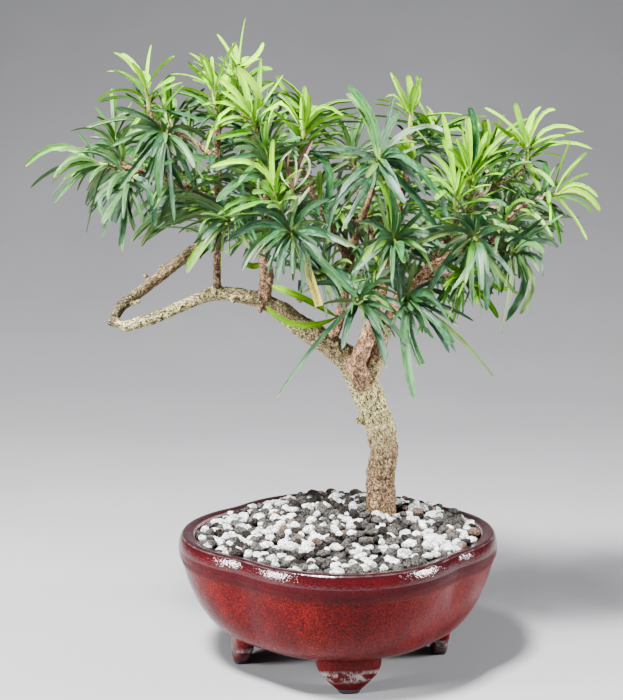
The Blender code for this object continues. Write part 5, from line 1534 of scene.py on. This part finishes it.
leaf_finish, tree = new_material("leaf")
place = attribute(tree, "leaf_place", "Vector")
across = add_node(tree, "SeparateXYZ", Vector=place).outputs["X"]
along = add_node(tree, "SeparateXYZ", Vector=place).outputs["Y"]
tones = add_node(tree, "SeparateXYZ", Vector=attribute(tree, "leaf_tone", "Vector"))
under = attribute(tree, "underside")
spot = object_place(tree)
broad = noise_value(tree, spot, 90, 3, 0.5)
fine = noise_value(tree, spot, 520, 5, 0.65)
drawn_out = add_node(tree, "Mapping", Vector=place, Scale=(1.6, 5.0, 1.0)).outputs[0]
streaks = noise_value(tree, drawn_out, 2.0, 4, 0.6)
age = maths(tree, "ADD", tones.outputs["X"], wobble(tree, broad, 0.35))
colour = ramp(tree, age, ((0.0, (0.008, 0.046, 0.016)), (0.20, (0.020, 0.086, 0.016)),
                          (0.42, (0.062, 0.208, 0.004)), (0.66, (0.142, 0.362, 0.001)),
                          (1.0, (0.200, 0.450, 0.001))))
olive = maths(tree, "LESS_THAN", tones.outputs["Y"], 0.16)
colour = mix(tree, maths(tree, "MULTIPLY", olive, 0.5), colour, (0.100, 0.170, 0.012))
old_rib = mix(tree, 1.0, colour, (2.1, 1.75, 1.9), "MULTIPLY")
young_rib = mix(tree, 1.0, colour, (1.55, 1.25, 1.0), "MULTIPLY")
lighter = mix(tree, ramp(tree, age, ((0.25, 0.0), (0.60, 1.0))), old_rib, young_rib)
darker = mix(tree, 1.0, colour, (0.50, 0.55, 0.50), "MULTIPLY")
colour = mix(tree, ramp(tree, fine, ((0.36, 0.5), (0.56, 0.0))), colour, darker)
# Painted sheen: grey-green streaks along the older leaves stand in for their glossy blue-grey sheen.
leaf_sheen_share = fade(tree, tones.outputs["X"], 0.0, 0.5, 0.45, 0.0)
painted_leaf_sheen = maths(tree, "MULTIPLY", ramp(tree, streaks, ((0.48, 0.0), (0.62, 1.0))), leaf_sheen_share)
colour = mix(tree, ramp(tree, streaks, ((0.34, 0.55), (0.50, 0.0))), colour, darker)
colour = mix(tree, painted_leaf_sheen, colour, (0.090, 0.170, 0.090))
from_middle = maths(tree, "ABSOLUTE", across)
rib = ramp(tree, from_middle, ((0.06, 0.9), (0.20, 0.0)))
colour = mix(tree, rib, colour, lighter)
margin = ramp(tree, from_middle, ((0.84, 0.0), (0.97, 0.5)))
colour = mix(tree, margin, colour, lighter)
pale = mix(tree, 0.40, colour, mix(tree, age, (0.120, 0.220, 0.050), (0.180, 0.340, 0.004)))
colour = mix(tree, maths(tree, "MULTIPLY", under, 0.6), colour, pale)
stalk = ramp(tree, along, ((0.0, 0.65), (0.18, 0.0)))
colour = mix(tree, stalk, colour, (0.22, 0.33, 0.04))
dry_tip = maths(tree, "MULTIPLY", ramp(tree, along, ((0.955, 0.0), (0.995, 1.0))),
                ramp(tree, tones.outputs["Y"], ((0.80, 0.0), (0.90, 0.7))))
colour = mix(tree, dry_tip, colour, (0.30, 0.17, 0.05))
stem_colour = mix(tree, fine, (0.10, 0.16, 0.03), (0.28, 0.33, 0.07))
colour = mix(tree, tones.outputs["Z"], colour, stem_colour)
vein = maths(tree, "SINE", maths(tree, "MULTIPLY", across, 34.0), 0.0)
relief = maths(tree, "ADD", maths(tree, "MULTIPLY", vein, 0.15), rib)
surface = bump(tree, relief, 0.00030, 0.7)
surface = bump(tree, fine, 0.00020, 0.6, surface)
gloss = ramp(tree, streaks, ((0.35, 0.26), (0.65, 0.44)))
set_shader(tree, Base_Color=colour, Roughness=gloss, Normal=surface, Specular_IOR_Level=0.34)
young_finish = leaf_finish.copy()
young_finish.name = "young_leaf"
set_shader(young_finish.node_tree, Specular_IOR_Level=0.04)


def leafy_piece(name, blades, stem, young):
    """A mesh object of leaves, with a stem if there is one, and the attributes of their finish."""
    verts, polygons = list(stem[0]), list(stem[1])
    places = [(0.5, 0.5, 0.0)] * len(verts)
    tones = [(young, 0.0, 1.0)] * len(verts)
    undersides = [0.0] * len(polygons)
    for leaf in blades:
        first = len(verts)
        verts += leaf.points()
        polygons += [tuple(first + index for index in face) for face in leaf_faces]
        undersides += leaf_undersides
        offset = 40 * rng.random()
        places += [(LEAF_CORNERS[corner][0], LEAF_ROWS[row][0], offset) for corner, row in leaf_spots]
        tone = (min(1.0, max(0.0, leaf.young + rng.gauss(0, 0.08))), rng.random(), 0.0)
        tones += [tone] * len(leaf_spots)
    piece = object_from(name, verts, polygons)
    store(piece, "leaf_place", places)
    store(piece, "leaf_tone", tones)
    store(piece, "underside", undersides, "FACE")
    select_only(piece)
    bpy.ops.object.shade_smooth_by_angle(angle=LEAF_SMOOTHING)
    piece.data.materials.append(young_finish if young > YOUNG_SHOOT else leaf_finish)
    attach(piece, "root")
    return piece


for name, blades in leaves.items():
    young = SHOOTS[name][6]
    shoot = leafy_piece("leaves_" + name, blades, stems[name], young)
    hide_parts("shoot_" + name)


# Inner leaves: short leaves that sit straight on the bare twigs and fill the crown between the
# shoots. They are leathery like the others, and were laid out with them to keep clear of them.
inner = leafy_piece("inner_leaves", twig_leaves, ((), ()), 0.0)


# Withered leaves and bud scales: dry curled leaves on a dead twig, a yellow one, and the brown
# papery scales that stay at the foot of each shoot. They were laid out with the green leaves.
withered_finish, tree = new_material("withered_leaf")
place = attribute(tree, "leaf_place", "Vector")
along = add_node(tree, "SeparateXYZ", Vector=place).outputs["Y"]
tones = add_node(tree, "SeparateXYZ", Vector=attribute(tree, "leaf_tone", "Vector"))
fine = noise_value(tree, object_place(tree), 900, 5, 0.7)
colour = ramp(tree, tones.outputs["X"], ((0.05, (0.045, 0.024, 0.012)), (0.25, (0.150, 0.122, 0.080)),
                                         (0.50, (0.640, 0.640, 0.500)), (0.65, (0.560, 0.640, 0.400)),
                                         (1.0, (0.640, 0.520, 0.090))))
colour = mix(tree, ramp(tree, fine, ((0.40, 0.35), (0.56, 0.0))), colour, (0.120, 0.060, 0.030))
colour = mix(tree, ramp(tree, along, ((0.0, 0.4), (0.18, 0.0))), colour, (0.080, 0.040, 0.020))
colour = mix(tree, tones.outputs["Z"], colour, (0.110, 0.180, 0.035))
set_shader(tree, Base_Color=colour, Roughness=0.7, Specular_IOR_Level=0.3,
           Normal=bump(tree, fine, 0.0004, 0.8))
withered = leafy_piece("withered_leaves_and_bud_scales", dead_leaves, withered_stem, 0.5)
withered.data.materials.clear()
withered.data.materials.append(withered_finish)


# Floor and light: a plain pale studio sweep, with a window-like softbox at either side of the
# camera and a broad soft light overhead.
FLOOR_SIZE = 4.0
FLOOR_PLACE = (0, -1.2, 0)
SWEEP_RADIUS = 1.8
SWEEP_STEPS = 12
WALL_HEIGHT = 2.0
bpy.ops.mesh.primitive_plane_add(size=FLOOR_SIZE, location=FLOOR_PLACE)
floor = bpy.context.object
floor.name = "studio_floor"
bpy.ops.object.transform_apply(location=True, rotation=False, scale=False)
bpy.ops.object.mode_set(mode="EDIT")
bpy.ops.mesh.select_all(action="DESELECT")
bpy.ops.mesh.select_mode(type="EDGE")
bpy.ops.object.mode_set(mode="OBJECT")
for edge in floor.data.edges:
    edge.select = all(floor.data.vertices[index].co.y > 0.5 for index in edge.vertices)
bpy.ops.object.mode_set(mode="EDIT")
for step in range(SWEEP_STEPS):
    turned = math.pi / 2 * (step + 0.5) / SWEEP_STEPS
    length = SWEEP_RADIUS * math.pi / 2 / SWEEP_STEPS
    move = (0, length * math.cos(turned), length * math.sin(turned))
    bpy.ops.mesh.extrude_region_move(TRANSFORM_OT_translate={"value": move})
bpy.ops.mesh.extrude_region_move(TRANSFORM_OT_translate={"value": (0, 0, WALL_HEIGHT)})
bpy.ops.object.mode_set(mode="OBJECT")
bpy.ops.object.shade_smooth()
floor_finish, tree = new_material("studio_floor")
grain = noise_value(tree, object_place(tree), 3)
set_shader(tree, Base_Color=ramp(tree, grain, ((0.3, (0.19, 0.19, 0.198)), (0.7, (0.21, 0.21, 0.218)))),
           Roughness=0.85, Specular_IOR_Level=0.15)
floor.data.materials.append(floor_finish)

LAMP_AIM = Vector((0, 0, 0.16))
SKY_COLOUR = (0.82, 0.87, 0.95, 1.0)
SKY_STRENGTH = 0.07
# Each row is the place of a softbox, its width and height, and its power in watts.
SOFTBOXES = (
    ((-1.05, -0.48, 0.42), (0.17, 0.40), 54),
    ((1.10, -0.20, 0.42), (0.17, 0.40), 46),
    ((-0.35, -0.50, 1.25), (0.22, 0.22), 160),
)
for place, (width, height), power in SOFTBOXES:
    bpy.ops.object.light_add(type="AREA", location=place)
    softbox = bpy.context.object
    softbox.data.shape = "RECTANGLE"
    softbox.data.size = width
    softbox.data.size_y = height
    softbox.data.energy = power
    aim = POT_AXIS + LAMP_AIM - Vector(place)
    softbox.rotation_euler = aim.to_track_quat("-Z", "Y").to_euler()

world = bpy.data.worlds.new("studio")
world.use_nodes = True
world.node_tree.nodes["Background"].inputs["Color"].default_value = SKY_COLOUR
world.node_tree.nodes["Background"].inputs["Strength"].default_value = SKY_STRENGTH
bpy.context.scene.world = world
